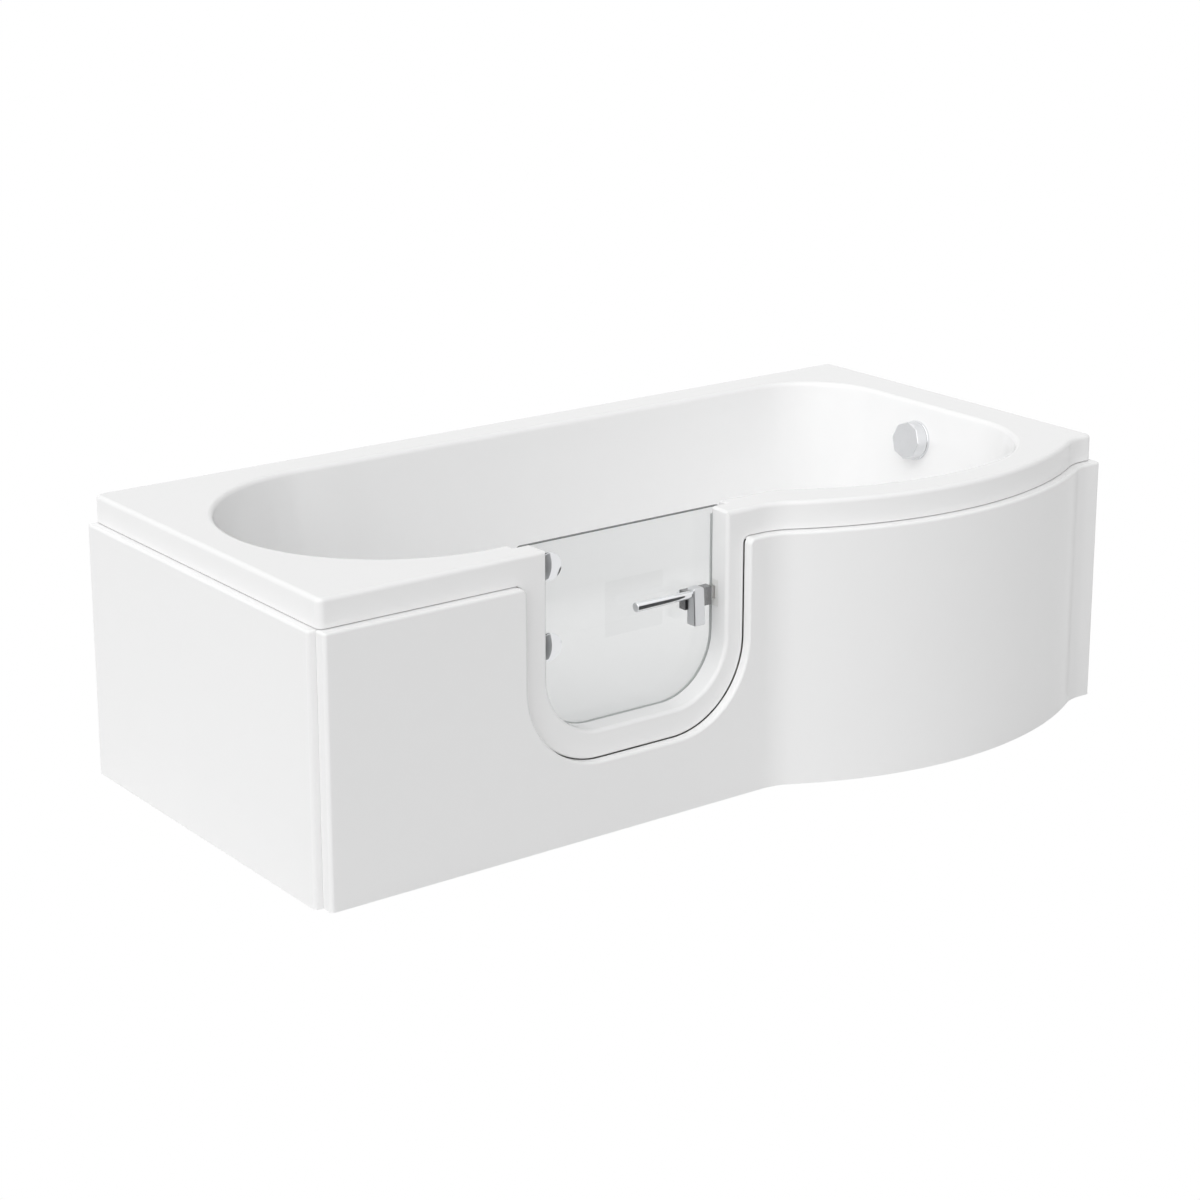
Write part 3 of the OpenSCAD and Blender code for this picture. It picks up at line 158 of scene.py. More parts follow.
class BathFittings(bpy.types.PropertyGroup):
    """Sizes of the hinges, the latch, the knob and the waste that the frame doesn't give"""
    cap_dome: length("Cap dome", "Height of the dome of the hinge caps", 0.004)
    cap_edge: length("Cap edge", "Radius of the hinge caps' back edge", 0.0003)
    cap_hole: length("Cap hole", "Radius of the caps' blind hole for the screw", 0.0042)
    screw_hole: length("Screw hole", "Diameter of the glass's holes for the hinge screws", 0.012)
    bush_hole: length("Bush hole", "Diameter of the glass's hole for the latch bush", 0.0164)
    bulb: length("Seal bulb", "Width of the bulb along the seal's outer edge", 0.005)
    seal: length("Seal", "Width of the seal from its outer to its inner edge", 0.026)
    seal_lip: length("Seal lip", "Width of the lip along the seal's inner edge", 0.003)
    lever_corner: length("Lever corner", "Radius of the lever block's top corners", 0.006)
    lever_edge: length("Lever edge", "Radius of the lever block's front edges", 0.0025)
    lever_foot: length("Lever foot", "Radius of the lever block's bottom corners", 0.0027)
    lever_back: length("Lever back", "Width of the chamfer round the lever block's back", 0.0005)
    lever_head: length("Lever head", "How much shallower the lever block is at its head", 0.004)
    bar_root: length("Bar root", "Diameter of the handle bar at the lever block", 0.0135)
    bar_edge: length("Bar edge", "Radius of the handle bar's free end", 0.0015)
    knob: length("Knob", "Diameter of the control knob", 0.076)
    knob_depth: length("Knob depth", "Depth of the control knob", 0.023)
    knob_stem: length("Knob stem", "Diameter of the knob's stem", 0.014)
    knob_reach: length("Knob reach", "How far the knob's stem runs on behind the wall", 0.025)
    knob_edge: length("Knob edge", "Radius round the knob's face", 0.0012)
    knob_flat: length("Knob flats", "How far the face's corners stay inside the knob's circle", 0.001)
    knob_rim: length("Knob rim", "Depth of the round rim where the knob meets its rose", 0.002)
    knob_chamfer: length("Knob chamfer", "Width of the chamfer round the knob's back", 0.0005)
    rose: length("Rose", "Thickness of the rose behind the knob", 0.005)
    rose_edge: length("Rose edge", "Radius of the rose's outer edge", 0.0015)
    rose_past: length("Rose overhang", "How far the rose stands out past the knob", 0.001)
    rose_gap: length("Rose gap", "Gap between the rose and the knob or its stem", 0.0003)
    waste_hole: length("Waste hole", "Diameter of the floor's hole for the waste", 0.052)
    knob_hole: length("Knob hole", "Diameter of the end wall's hole for the knob's stem", 0.026)


class BathFinishes(bpy.types.PropertyGroup):
    """Colours of the bath's materials"""
    acrylic: colour("Acrylic", "Cast acrylic of the shell and the panels", "FAFAFA")
    resin: colour("Resin", "Glass fibre and resin under the shell", "D9D5C6")
    glass: colour("Glass", "Toughened glass of the door", "F3F4F4")
    glass_edge: colour("Glass edge", "Ground edge of the glass", "4E5453")
    silicone: colour("Silicone", "Extruded seal", "D9DDDC")
    housing: colour("Housing", "Brushed chrome of the latch's housing", "8C8C8D")
    chrome: colour("Chrome", "Polished chrome plate", "E4E5E7")
    satin: colour("Satin chrome", "Blasted and chromed lever block", "D4D5D7")
    steel: colour("Steel", "Turned stainless steel", "B9BABC")
    zinc: colour("Zinc", "Galvanised steel tube", "AEB3B5")
    rubber: colour("Rubber", "Moulded rubber", "1E1F20")
    nylon: colour("Nylon", "Moulded white plastic", "EFEFED")
    plywood: colour("Plywood", "Birch plywood", "C7A678")


class BathStage(bpy.types.PropertyGroup):
    """Where the camera stands and how bright the lamps are"""
    lens: FloatProperty(name="Lens", description="Focal length of the camera", default=82.9, unit="CAMERA")
    camera: FloatVectorProperty(name="Camera", description="Place of the camera", subtype="TRANSLATION",
                                unit="LENGTH", default=(-2.913, -3.801, 1.812))
    tilt: angle("Tilt", "How far the camera looks down", 15.36)
    heading: angle("Heading", "How far the camera looks to the right of the depth of the bath", 36.79)
    shift: FloatProperty(name="Shift", description="Upright shift of the camera's picture", default=-0.1)
    key: FloatProperty(name="Key light", description="Strength of the soft light from the left", default=1.2)
    key_from: FloatVectorProperty(name="Key direction", description="Where the soft light comes from",
                                  subtype="DIRECTION", default=(-0.55, -0.36, 0.62))
    key_angle: angle("Key softness", "How wide the soft light is seen from the bath", 80)
    top: FloatProperty(name="Top light", description="Strength of the soft light from overhead", default=0.25)
    top_angle: angle("Top softness", "How wide the overhead light is seen from the bath", 110)
    room: FloatProperty(name="Room light", description="Strength of the light of the room", default=0.525)
    room_side: FloatProperty(name="Room light's lean", default=0.55,
                             description="How much brighter the room is on the left than on the right")


# ---- outlines ------------------------------------------------------------------------

def arc(centre, radius, start, end, steps):
    """Points on an arc from one angle up to, but not at, the other, in degrees."""
    turn = [math.radians(start + (end - start) * i / steps) for i in range(steps)]
    return [(centre[0] + radius * math.cos(a), centre[1] + radius * math.sin(a)) for a in turn]


class Bow:
    """A bowed front: an arc with a hollow blend where it leaves the straight front."""

    def __init__(self, x, y, out, half, blend):
        self.y = y
        self.blend = blend
        self.radius = (half * half / out + out) / 2 - blend
        self.centre = (x, y - out + self.radius)

    def reach(self, blend):
        """Distance along X from the bow's middle to the middle of a blend."""
        return math.sqrt((self.radius + blend) ** 2 - (self.centre[1] - self.y + blend) ** 2)

    def slope(self, blend):
        return math.degrees(math.acos(self.reach(blend) / (self.radius + blend)))

    def path(self, inset, end):
        """The left blend and the bow, inset towards the wall side, up to an angle."""
        start = (self.centre[0] - self.reach(self.blend), self.y - self.blend)
        slope = self.slope(self.blend)
        return (arc(start, self.blend + inset, 90, slope, 14)
                + arc(self.centre, self.radius - inset, 180 + slope, end, 72))


class Bath:
    """The measures of the bath in the frame's own axes, from the frame and the properties."""

    def __init__(self, scene):
        self.rim, self.basin, self.door, self.panels = (
            scene.bath_rim, scene.bath_basin, scene.bath_doorway, scene.bath_panels)
        low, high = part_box("bath_shell")
        glass_low, glass_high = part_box("door_glass")
        rim, door = self.rim, self.door
        self.left, self.right, self.back, self.top = low[0], high[0], high[1], high[2]
        self.front = self.back - rim.straight_width
        self.skirt = self.top - rim.skirt
        self.floor = self.basin.floor
        self.door_left = glass_low[0] + door.lap
        self.door_right = glass_high[0] - door.lap
        self.sill = glass_low[2] + door.lap
        self.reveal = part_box("door_seal")[0][1] - door.seal_gap
        self.bow_out = self.front - low[1]
        width = self.right - rim.bow_end - self.door_right - rim.bow_gap
        half = (width + 2 * self.bow_out * (rim.blend_left - rim.blend_right) / width) / 2
        self.bow = Bow(self.door_right + rim.bow_gap + half, self.front, self.bow_out, half, rim.blend_left)
        basin = self.basin
        middle = self.bow.centre[0] + basin.bow_shift
        self.basin_bow = Bow(middle, self.front + basin.front,
                             basin.front + self.bow_out - basin.at_bow,
                             middle - self.door_right - basin.bow_gap, basin.blend)

    def front_path(self, inset):
        """The rim's front from the left blend to the right one."""
        blend, slope = self.rim.blend_right, self.bow.slope(self.rim.blend_right)
        end = self.bow.centre[0] + self.bow.reach(blend)
        return (self.bow.path(inset, 360 - slope)
                + arc((end, self.front - blend), blend + inset, 180 - slope, 90, 14)
                + [(end, self.front + inset)])

    def rim_ring(self, inset):
        """The rim's outline, inset."""
        c, r = self.rim.corner, self.rim.corner - inset
        x0, x1, y0, y1 = self.left, self.right, self.front, self.back
        return (arc((x0 + c, y0 + c), r, 180, 270, 8) + [(x0 + c, y0 + inset)]
                + self.front_path(inset)
                + arc((x1 - c, y0 + c), r, 270, 360, 8) + [(x1 - inset, y0 + c)]
                + arc((x1 - c, y1 - c), r, 0, 90, 8) + [(x1 - c, y1 - inset)]
                + arc((x0 + c, y1 - c), r, 90, 180, 8) + [(x0 + inset, y1 - c)])

    def basin_ring(self, inset, front_inset, backrest):
        """The basin's outline; the front and the backrest have insets of their own."""
        basin, bow = self.basin, self.basin_bow
        y1 = self.back - basin.back - inset
        y0 = self.front + basin.front + front_inset
        x1 = self.right - basin.right - inset
        half = (self.back - basin.back - self.front - basin.front) / 2
        middle = self.left + basin.left + half
        radius = bow.radius - front_inset
        k = basin.corner_front - (inset + front_inset) / 2
        kx = x1 - k
        ky = bow.centre[1] - math.sqrt((radius - k) ** 2 - (kx - bow.centre[0]) ** 2)
        turn = math.degrees(math.atan2(ky - bow.centre[1], kx - bow.centre[0]))
        kb = basin.corner_back - inset
        end = [(middle + (half - inset - backrest) * x, (y0 + y1) / 2 + (y1 - y0) / 2 * y)
               for x, y in arc((0, 0), 1, 90, 270, 48) + [(0, -1)]]
        return (end + bow.path(front_inset, 360 + turn)
                + arc((kx, ky), k, turn, 0, 20) + [(x1, ky)]
                + arc((x1 - kb, y1 - kb), kb, 0, 90, 18) + [(x1 - kb, y1)])

    def basin_level(self, down, turn, out):
        """One level of the basin: down the wall from 0 to 1, then round the floor's edge."""
        basin = self.basin
        wall = self.top - basin.roll - basin.floor - basin.floor_edge
        drop = basin.floor_edge * math.sin(math.radians(turn))
        on = down + drop / wall
        grow = basin.floor_edge * (1 - math.cos(math.radians(turn))) - out
        ring = self.basin_ring(basin.roll + basin.lean * on + grow, basin.roll + grow,
                               basin.back_lean * on * (1 + on) / 2)
        return ring, self.top - basin.roll - wall * down - drop - out * down

    def basin_levels(self, out):
        """The basin's levels from its floor up to where the rim's roll starts."""
        return ([self.basin_level(1, 90 * i / 12, out) for i in range(12, 0, -1)]
                + [self.basin_level(i / 10, 0, out) for i in range(10, -1, -1)])

    def doorway(self, grow, top):
        """The door opening's U in X and Z, grown outwards and open at the top."""
        return u_shape(self.door_left - grow, self.door_right + grow, self.sill - grow,
                       self.door.corner + grow, top)

    def band(self, grow, top):
        """The outer U of the band round the opening, grown outwards."""
        door = self.door
        return u_shape(self.door_left - door.band_left - grow, self.door_right + door.band_right + grow,
                       self.sill - door.band_low - grow, door.band_corner + grow, top)

    def panel_cut(self, inset, top):
        """The cut in the front panel round the band, rounded where it meets the panel's top."""
        c = self.panels.cut_corner
        u = self.band(self.panels.gap + inset, top)
        x0, x1 = u[0][0], u[-1][0]
        x2, x3 = x0 + inset - c, x1 - inset + c
        return ([(x2, top + c)] + arc((x2, top - c), c - inset, 90, 0, 8) + [(x0, top - c)]
                + u[1:-1]
                + [(x1, top - c)] + arc((x3, top - c), c - inset, 180, 90, 8)[1:] + [(x3, top - inset)]
                + [(x3, top + c)])

    def panel_ring(self, inset, back):
        """The front panel's outline from its outer face, inset, up to a line behind it."""
        low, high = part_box("front_panel")
        c = self.panels.edge
        out = self.front - self.bow_out - low[1]
        face = self.front - out
        return ([(low[0] + inset, back)]
                + arc((low[0] + c, face + c), c - inset, 180, 270, 8) + [(low[0] + c, face + inset)]
                + self.front_path(inset - out)
                + arc((high[0] - c, face + c), c - inset, 270, 360, 8) + [(high[0] - inset, face + c)]
                + [(high[0] - inset, back)])

    def glass_ring(self, inset):
        """The door glass's outline in X and Z, inset."""
        low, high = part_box("door_glass")
        r = self.door.corner + self.door.lap - inset
        t = self.door.glass_top - inset
        x0, x1, z0, z1 = low[0] + inset, high[0] - inset, low[2] + inset, high[2] - inset
        return (arc((x0 + t, z1 - t), t, 90, 180, 8) + [(x0, z1 - t)]
                + arc((x0 + r, z0 + r), r, 180, 270, 36) + [(x0 + r, z0)]
                + arc((x1 - r, z0 + r), r, 270, 360, 36) + [(x1, z0 + r)]
                + arc((x1 - t, z1 - t), t, 0, 90, 8) + [(x1 - t, z1)])


def rectangle(x0, x1, y0, y1):
    """The four corners of a rectangle."""
    return [(x0, y0), (x1, y0), (x1, y1), (x0, y1)]


def u_shape(x0, x1, z0, r, top, steps=24):
    """A U in X and Z with rounded bottom corners, open at the top."""
    return ([(x0, top)] + arc((x0 + r, z0 + r), r, 180, 270, steps) + [(x0 + r, z0)]
            + arc((x1 - r, z0 + r), r, 270, 360, steps) + [(x1, z0 + r), (x1, top)])


def rounded(x0, x1, y0, y1, low, high, steps=8):
    """A rectangle with its two low and two high corners rounded."""
    return (arc((x0 + low, y0 + low), low, 180, 270, steps) + [(x0 + low, y0)]
            + arc((x1 - low, y0 + low), low, 270, 360, steps) + [(x1, y0 + low)]
            + arc((x1 - high, y1 - high), high, 0, 90, steps) + [(x1 - high, y1)]
            + arc((x0 + high, y1 - high), high, 90, 180, steps) + [(x0, y1 - high)])


def fillet(radius, steps=6):
    """Pairs of inset and depth that round an edge, from the face down to the side."""
    turn = [math.radians(90 * i / steps) for i in range(steps + 1)]
    return [(radius * (1 - math.sin(a)), radius * (1 - math.cos(a))) for a in turn]


# ---- meshes --------------------------------------------------------------------------

def new_piece(name, points, faces, *materials):
    """A new object from points and faces, its faces turned outwards."""
    mesh = bpy.data.meshes.new(name)
    mesh.from_pydata([tuple(p) for p in points], [], faces)
    for made in materials:
        mesh.materials.append(made)
    work = bmesh.new()
    work.from_mesh(mesh)
    bmesh.ops.recalc_face_normals(work, faces=work.faces)
    work.to_mesh(mesh)
    work.free()
    piece = bpy.data.objects.new(name, mesh)
    bpy.context.scene.collection.objects.link(piece)
    return piece


def loft(levels, axis="z"):
    """Points and faces of a solid through rings of equal length, stacked along Y or Z."""
    count = len(levels[0][0])
    points = [(p[0], height, p[1]) if axis == "y" else (p[0], p[1], height)
              for ring, height in levels for p in ring]
    faces = [tuple(range(count)), tuple(range(len(points) - count, len(points)))]
    for level in range(len(levels) - 1):
        for i in range(count):
            a, b = level * count + i, level * count + (i + 1) % count
            faces.append((a, b, b + count, a + count))
    return points, faces


def lathe(profile, place, steps=64):
    """Points and faces of a turned solid; the profile is (radius, depth along the axis).

    A radius of 0 is one point. place turns a point whose X runs along the axis."""
    points, faces, rings = [], [], []
    for radius, depth in profile:
        if radius == 0:
            rings.append([len(points)] * steps)
            points.append(place @ Vector((depth, 0, 0)))
        else:
            rings.append(list(range(len(points), len(points) + steps)))
            points += [place @ Vector((depth, y, z)) for y, z in arc((0, 0), radius, 0, 360, steps)]
    pairs = list(zip(rings, rings[1:]))
    if profile[0][0] and profile[-1][0]:
        pairs.append((rings[-1], rings[0]))
    for low, high in pairs:
        for i in range(steps):
            corners = [low[i], low[(i + 1) % steps], high[(i + 1) % steps], high[i]]
            corners = [c for k, c in enumerate(corners) if c != corners[k - 1]]
            if len(corners) > 2:
                faces.append(tuple(corners))
    return points, faces


def sweep(paths):
    """Points and faces of a strip with open ends; each path is a line along the strip."""
    count, around = len(paths[0]), len(paths)
    points = [p for path in paths for p in path]
    faces = [tuple(k * count for k in range(around)),
             tuple(k * count + count - 1 for k in range(around))]
    for k in range(around):
        a, b = k * count, (k + 1) % around * count
        faces += [(a + i, a + i + 1, b + i + 1, b + i) for i in range(count - 1)]
    return points, faces


def along_y(x, z):
    """Places a turned solid so that its axis runs along +Y through a point in X and Z."""
    return Matrix.Translation((x, 0, z)) @ Matrix.Rotation(math.radians(90), 4, "Z")


def along_z(x, y):
    """Places a turned solid so that its axis runs along +Z through a point in X and Y."""
    return Matrix.Translation((x, y, 0)) @ Matrix.Rotation(math.radians(-90), 4, "Y")


def combine(base, *steps):
    """Joins to a base solid, or cuts from it, one solid after another."""
    for operation, tool in steps:
        change = base.modifiers.new(tool.name, "BOOLEAN")
        change.operation = operation
        change.solver = "EXACT"
        change.material_mode = "TRANSFER"
        change.object = tool
        graph = bpy.context.evaluated_depsgraph_get()
        mesh = bpy.data.meshes.new_from_object(base.evaluated_get(graph))
        base.modifiers.clear()
        base.data = mesh
        bpy.data.objects.remove(tool)
    return base


def tidy(piece):
    """Joins points that a Boolean left almost on top of each other."""
    distance = SKIN / 2
    work = bmesh.new()
    work.from_mesh(piece.data)
    bmesh.ops.remove_doubles(work, verts=work.verts, dist=distance)
    bmesh.ops.dissolve_degenerate(work, edges=work.edges, dist=distance)
    work.to_mesh(piece.data)
    work.free()
    return piece


def soften(piece, sharp=35, bevel=0.0):
    """Shades the piece smooth up to an angle, with a bevel on its edges where it has one."""
    piece.data.shade_smooth()
    piece.data.set_sharp_from_angle(angle=math.radians(sharp))
    if bevel:
        edges = piece.modifiers.new("Edges", "BEVEL")
        edges.width = bevel
        edges.segments = 3
        edges.limit_method = "ANGLE"
        edges.angle_limit = math.radians(40)
        edges.harden_normals = True
    normals = piece.modifiers.new("Flat faces stay flat", "WEIGHTED_NORMAL")
    normals.keep_sharp = True
    return piece


def fit(piece, body, slot, *nodes):
    """Lets a piece ride on a body and stand for CAD nodes, which it hides; slot is not used."""
    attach(piece, body)
    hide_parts(*nodes)


# ---- materials -----------------------------------------------------------------------

def add(tree, kind, inputs=None, **settings):
    """Adds a node with its settings; an input is a value or the socket that feeds it."""
    made = tree.nodes.new(kind)
    for key, value in settings.items():
        setattr(made, key, value)
    for key, value in (inputs or {}).items():
        if isinstance(value, bpy.types.NodeSocket):
            tree.links.new(value, made.inputs[key])
        else:
            made.inputs[key].default_value = value
    return made


def surface(name, paint, **values):
    """A new material with one Principled shader; paint adds what varies over the surface."""
    made = bpy.data.materials.new(name)
    made.use_nodes = True
    tree = made.node_tree
    shader = next(n for n in tree.nodes if n.type == "BSDF_PRINCIPLED")
    for key, value in values.items():
        shader.inputs[key.replace("_", " ")].default_value = value
    place = add(tree, "ShaderNodeTexCoord").outputs["Object"]
    for key, value in paint(tree, place).items():
        tree.links.new(value, shader.inputs[key])
    return made


def shade(rgb, factor=1.0):
    """A colour for a shader, lighter or darker by a factor."""
    return (rgb[0] * factor, rgb[1] * factor, rgb[2] * factor, 1.0)


def per(millimetres):
    """A texture's scale for a pattern of a size in millimetres."""
    return 1 / (millimetres * MM)


def noise(tree, place, size, detail):
    """A noise from 0 to 1 with grains of a size in millimetres."""
    return add(tree, "ShaderNodeTexNoise", {"Vector": place, "Scale": per(size), "Detail": detail}).outputs[0]


def between(tree, factor, low, high):
    """Spreads a factor from 0 to 1 over a range."""
    return add(tree, "ShaderNodeMapRange", {"Value": factor, "To Min": low, "To Max": high}).outputs[0]


def two_tone(tree, factor, rgb, low, high):
    """A colour that runs from darker to lighter with a factor."""
    return blend(tree, factor, shade(rgb, low), shade(rgb, high))


def blend(tree, factor, start, end):
    """A colour that runs from one to another with a factor."""
    return add(tree, "ShaderNodeMix", {0: factor, 6: start, 7: end}, data_type="RGBA").outputs[2]


def relief(tree, height, millimetres, strength):
    """A bumped normal from a height of 0 to 1, with its full depth in millimetres."""
    inputs = {"Height": height, "Distance": millimetres * MM, "Strength": strength}
    return add(tree, "ShaderNodeBump", inputs).outputs[0]


def cast_acrylic(finishes):
    """Cast acrylic sheet, drawn over a mould: deep gloss with a barely seen waviness."""
    def paint(tree, place):
        wave = noise(tree, place, 55, 1.0)
        film = noise(tree, place, 18, 4.0)
        return {"Base Color": two_tone(tree, wave, finishes.acrylic, 0.992, 1.0),
                "Roughness": between(tree, film, 0.10, 0.17),
                "Normal": relief(tree, wave, 0.10, 0.25)}
    return surface("cast_acrylic", paint, IOR=1.49)


def fibre_resin(finishes):
    """Glass fibre and resin sprayed on the underside: matt, with strands that stand up."""
    def paint(tree, place):
        strands = noise(tree, place, 3.0, 6.0)
        patches = noise(tree, place, 60, 3.0)
        return {"Base Color": two_tone(tree, patches, finishes.resin, 0.90, 1.0),
                "Roughness": between(tree, strands, 0.45, 0.70),
                "Normal": relief(tree, strands, 0.8, 0.6)}
    return surface("sprayed_fibre_resin", paint, IOR=1.54)


def toughened_glass(finishes):
    """Toughened float glass: clear, with the faintest ripple of the rollers. Light falls
    straight through it, so that nothing behind it lies in the dark."""
    def paint(tree, place):
        ripple = noise(tree, place, 120, 0.0)
        return {"Normal": relief(tree, ripple, 0.05, 0.15)}
    made = surface("toughened_glass", paint, Base_Color=shade(finishes.glass), Roughness=0.0, IOR=1.46,
                   Transmission_Weight=1.0)
    tree = made.node_tree
    output = next(n for n in tree.nodes if n.type == "OUTPUT_MATERIAL")
    rays = add(tree, "ShaderNodeLightPath").outputs
    passing = add(tree, "ShaderNodeMath", {0: rays["Is Shadow Ray"], 1: rays["Is Diffuse Ray"]},
                  operation="MAXIMUM").outputs[0]
    passed = 0.97                   # share of that light which the pane lets through
    clear = add(tree, "ShaderNodeBsdfTransparent", {"Color": shade(finishes.glass, passed)}).outputs[0]
    mix = add(tree, "ShaderNodeMixShader", {0: passing, 1: output.inputs["Surface"].links[0].from_socket,
                                            2: clear}).outputs[0]
    tree.links.new(mix, output.inputs["Surface"])
    return made


def ground_glass(finishes):
    """The ground and polished edge of the glass: darker, and faintly green."""
    def paint(tree, place):
        grind = noise(tree, place, 4, 3.0)
        return {"Base Color": two_tone(tree, grind, finishes.glass_edge, 0.80, 1.0),
                "Roughness": between(tree, grind, 0.20, 0.40)}
    return surface("ground_glass_edge", paint, IOR=1.50)


def extruded_silicone(finishes):
    """Clear silicone strip: milky, with a soft and slightly uneven sheen."""
    def paint(tree, place):
        sheen = noise(tree, place, 2.0, 2.0)
        return {"Base Color": two_tone(tree, sheen, finishes.silicone, 0.96, 1.0),
                "Roughness": between(tree, sheen, 0.30, 0.45)}
    return surface("extruded_silicone", paint, IOR=1.41, Transmission_Weight=0.35)


def chrome_plate(finishes):
    """Chrome on polished brass: mirror bright, with a thin film of wipe marks."""
    def paint(tree, place):
        wipe = noise(tree, place, 14, 5.0)
        return {"Base Color": two_tone(tree, wipe, finishes.chrome, 0.96, 1.0),
                "Roughness": between(tree, wipe, 0.05, 0.13)}
    return surface("polished_chrome_plate", paint, Metallic=1.0)


def brushed_chrome(finishes):
    """Dark brushed chrome on die-cast zinc, with a grain half a millimetre wide."""
    def paint(tree, place):
        grain = noise(tree, place, 0.5, 2.0)
        return {"Base Color": two_tone(tree, grain, finishes.housing, 0.75, 1.15),
                "Roughness": between(tree, grain, 0.18, 0.34)}
    return surface("brushed_chrome_casting", paint, Metallic=1.0)


def satin_chrome(finishes):
    """Die-cast zinc, blasted and chromed: an even satin grain, drawn at half a millimetre."""
    def paint(tree, place):
        grain = noise(tree, place, 0.5, 2.0)
        return {"Base Color": two_tone(tree, grain, finishes.satin, 0.95, 1.0),
                "Roughness": between(tree, grain, 0.26, 0.38),
                "Normal": relief(tree, grain, 0.02, 0.4)}
    return surface("blasted_satin_chrome", paint, Metallic=1.0)


def turned_steel(finishes):
    """Stainless bar off the lathe: bright, with fine marks half a millimetre across."""
    def paint(tree, place):
        marks = noise(tree, place, 0.5, 3.0)
        return {"Base Color": two_tone(tree, marks, finishes.steel, 0.90, 1.0),
                "Roughness": between(tree, marks, 0.22, 0.36)}
    return surface("turned_stainless_steel", paint, Metallic=1.0)


def galvanised_steel(finishes):
    """Hot-dipped tube: a spangle of crystals about a centimetre wide in two greys."""
    def paint(tree, place):
        spangle = add(tree, "ShaderNodeTexVoronoi", {"Vector": place, "Scale": per(11)}).outputs["Color"]
        grey = add(tree, "ShaderNodeSeparateColor", {"Color": spangle}).outputs[0]
        dust = noise(tree, place, 2.5, 3.0)
        return {"Base Color": two_tone(tree, grey, finishes.zinc, 0.80, 1.0),
                "Roughness": between(tree, grey, 0.38, 0.58),
                "Normal": relief(tree, dust, 0.05, 0.3)}
    return surface("galvanised_steel", paint, Metallic=0.85)


def moulded_rubber(finishes):
    """Black rubber out of a blasted mould: matt, a fine even grain."""
    def paint(tree, place):
        grain = noise(tree, place, 0.8, 3.0)
        return {"Base Color": two_tone(tree, grain, finishes.rubber, 0.80, 1.25),
                "Roughness": between(tree, grain, 0.62, 0.80),
                "Normal": relief(tree, grain, 0.05, 0.5)}
    return surface("moulded_rubber", paint, IOR=1.52)


def moulded_nylon(finishes):
    """White plastic fittings: satin, with the slight mottling of a mould."""
    def paint(tree, place):
        mottle = noise(tree, place, 9, 3.0)
        return {"Base Color": two_tone(tree, mottle, finishes.nylon, 0.95, 1.0),
                "Roughness": between(tree, mottle, 0.32, 0.46)}
    return surface("moulded_nylon", paint, IOR=1.53)


def birch_plywood(finishes):
    """Birch plywood: long grain, lighter and darker in broad bands up its height."""
    def paint(tree, place):
        along = add(tree, "ShaderNodeMapping", {"Vector": place, "Scale": (0.06, 1.0, 1.0)}).outputs[0]
        grain = noise(tree, along, 6, 5.0)
        bands = add(tree, "ShaderNodeTexWave", {"Vector": place, "Scale": per(5.1) / 20, "Distortion": 0.0},
                    bands_direction="Z").outputs["Fac"]
        both = add(tree, "ShaderNodeMath", {0: grain, 1: bands}, operation="MULTIPLY").outputs[0]
        return {"Base Color": two_tone(tree, both, finishes.plywood, 0.70, 1.05),
                "Roughness": between(tree, grain, 0.55, 0.75),
                "Normal": relief(tree, grain, 0.15, 0.4)}
    return surface("birch_plywood", paint, IOR=1.5)


MAKERS = {"white_acrylic": cast_acrylic, "fibre_resin": fibre_resin, "door_glass": toughened_glass,
          "glass_edge": ground_glass, "clear_silicone": extruded_silicone, "chrome": chrome_plate,
          "latch_housing": brushed_chrome, "satin_metal": satin_chrome, "steel": turned_steel,
          "black_rubber": moulded_rubber, "white_nylon": moulded_nylon,
          "zinc_plated_steel": galvanised_steel, "plywood": birch_plywood}
made_materials = {}


def finish(key):
    """The material of a slot, or of a piece or face with a look of its own, made once."""
    if key not in made_materials:
        made_materials[key] = MAKERS[key](bpy.context.scene.bath_finishes)
    return made_materials[key]


# ---- operators: the bath -------------------------------------------------------------

class BATH_OT_shell(bpy.types.Operator):
    """Build the acrylic shell with its rim, basin, band and door opening"""
    bl_idname = "bath.shell"
    bl_label = "Bath Shell"

    def execute(self, context):
        bath = Bath(context.scene)
        shell = soften(tidy(bath_shell(bath)))
        fit(shell, "root", "white_acrylic", "bath_shell", "door_surround")
        return {"FINISHED"}


def solid(name, levels, key="white_acrylic", axis="z"):
    """A solid through rings, stacked upwards or along Y."""
    return new_piece(name, *loft(levels, axis), finish(key))


def bath_shell(bath):
    """The whole shell: a lofted rim and basin, opened for the door."""
    rim, basin = bath.rim, bath.basin
    wall, top = rim.wall, bath.top
    edge = [(bath.rim_ring(i), top - d) for i, d in fillet(rim.edge)]
    lower = [(bath.rim_ring(i), bath.skirt + d) for i, d in fillet(rim.skirt_edge, 3)]
    shell = solid("Bath_shell", lower + edge[::-1])
    hollow = solid("hollow", [(bath.rim_ring(wall), bath.skirt - PAST), (bath.rim_ring(wall), top - wall)],
                   "fibre_resin")
    lip = bath.basin_ring(basin.roll - wall, basin.roll - wall, 0)
    body = solid("body", bath.basin_levels(wall) + [(lip, top - wall / 2)], "fibre_resin")
    roll = [(bath.basin_ring(basin.roll - i, basin.roll - i, 0), top - d)
            for i, d in fillet(basin.roll, 8)]
    cavity = solid("cavity", bath.basin_levels(0) + roll[-2::-1] + [(bath.basin_ring(0, 0, 0), top + PAST)])
    seat_wall, seat = hinge_seat(bath)
    return combine(shell, ("DIFFERENCE", hollow), ("UNION", body), *door_surround(bath),
                   ("UNION", seat_wall), ("DIFFERENCE", cavity), ("DIFFERENCE", seat), *door_cuts(bath),
                   *shell_holes(bath, bpy.context.scene.bath_fittings))


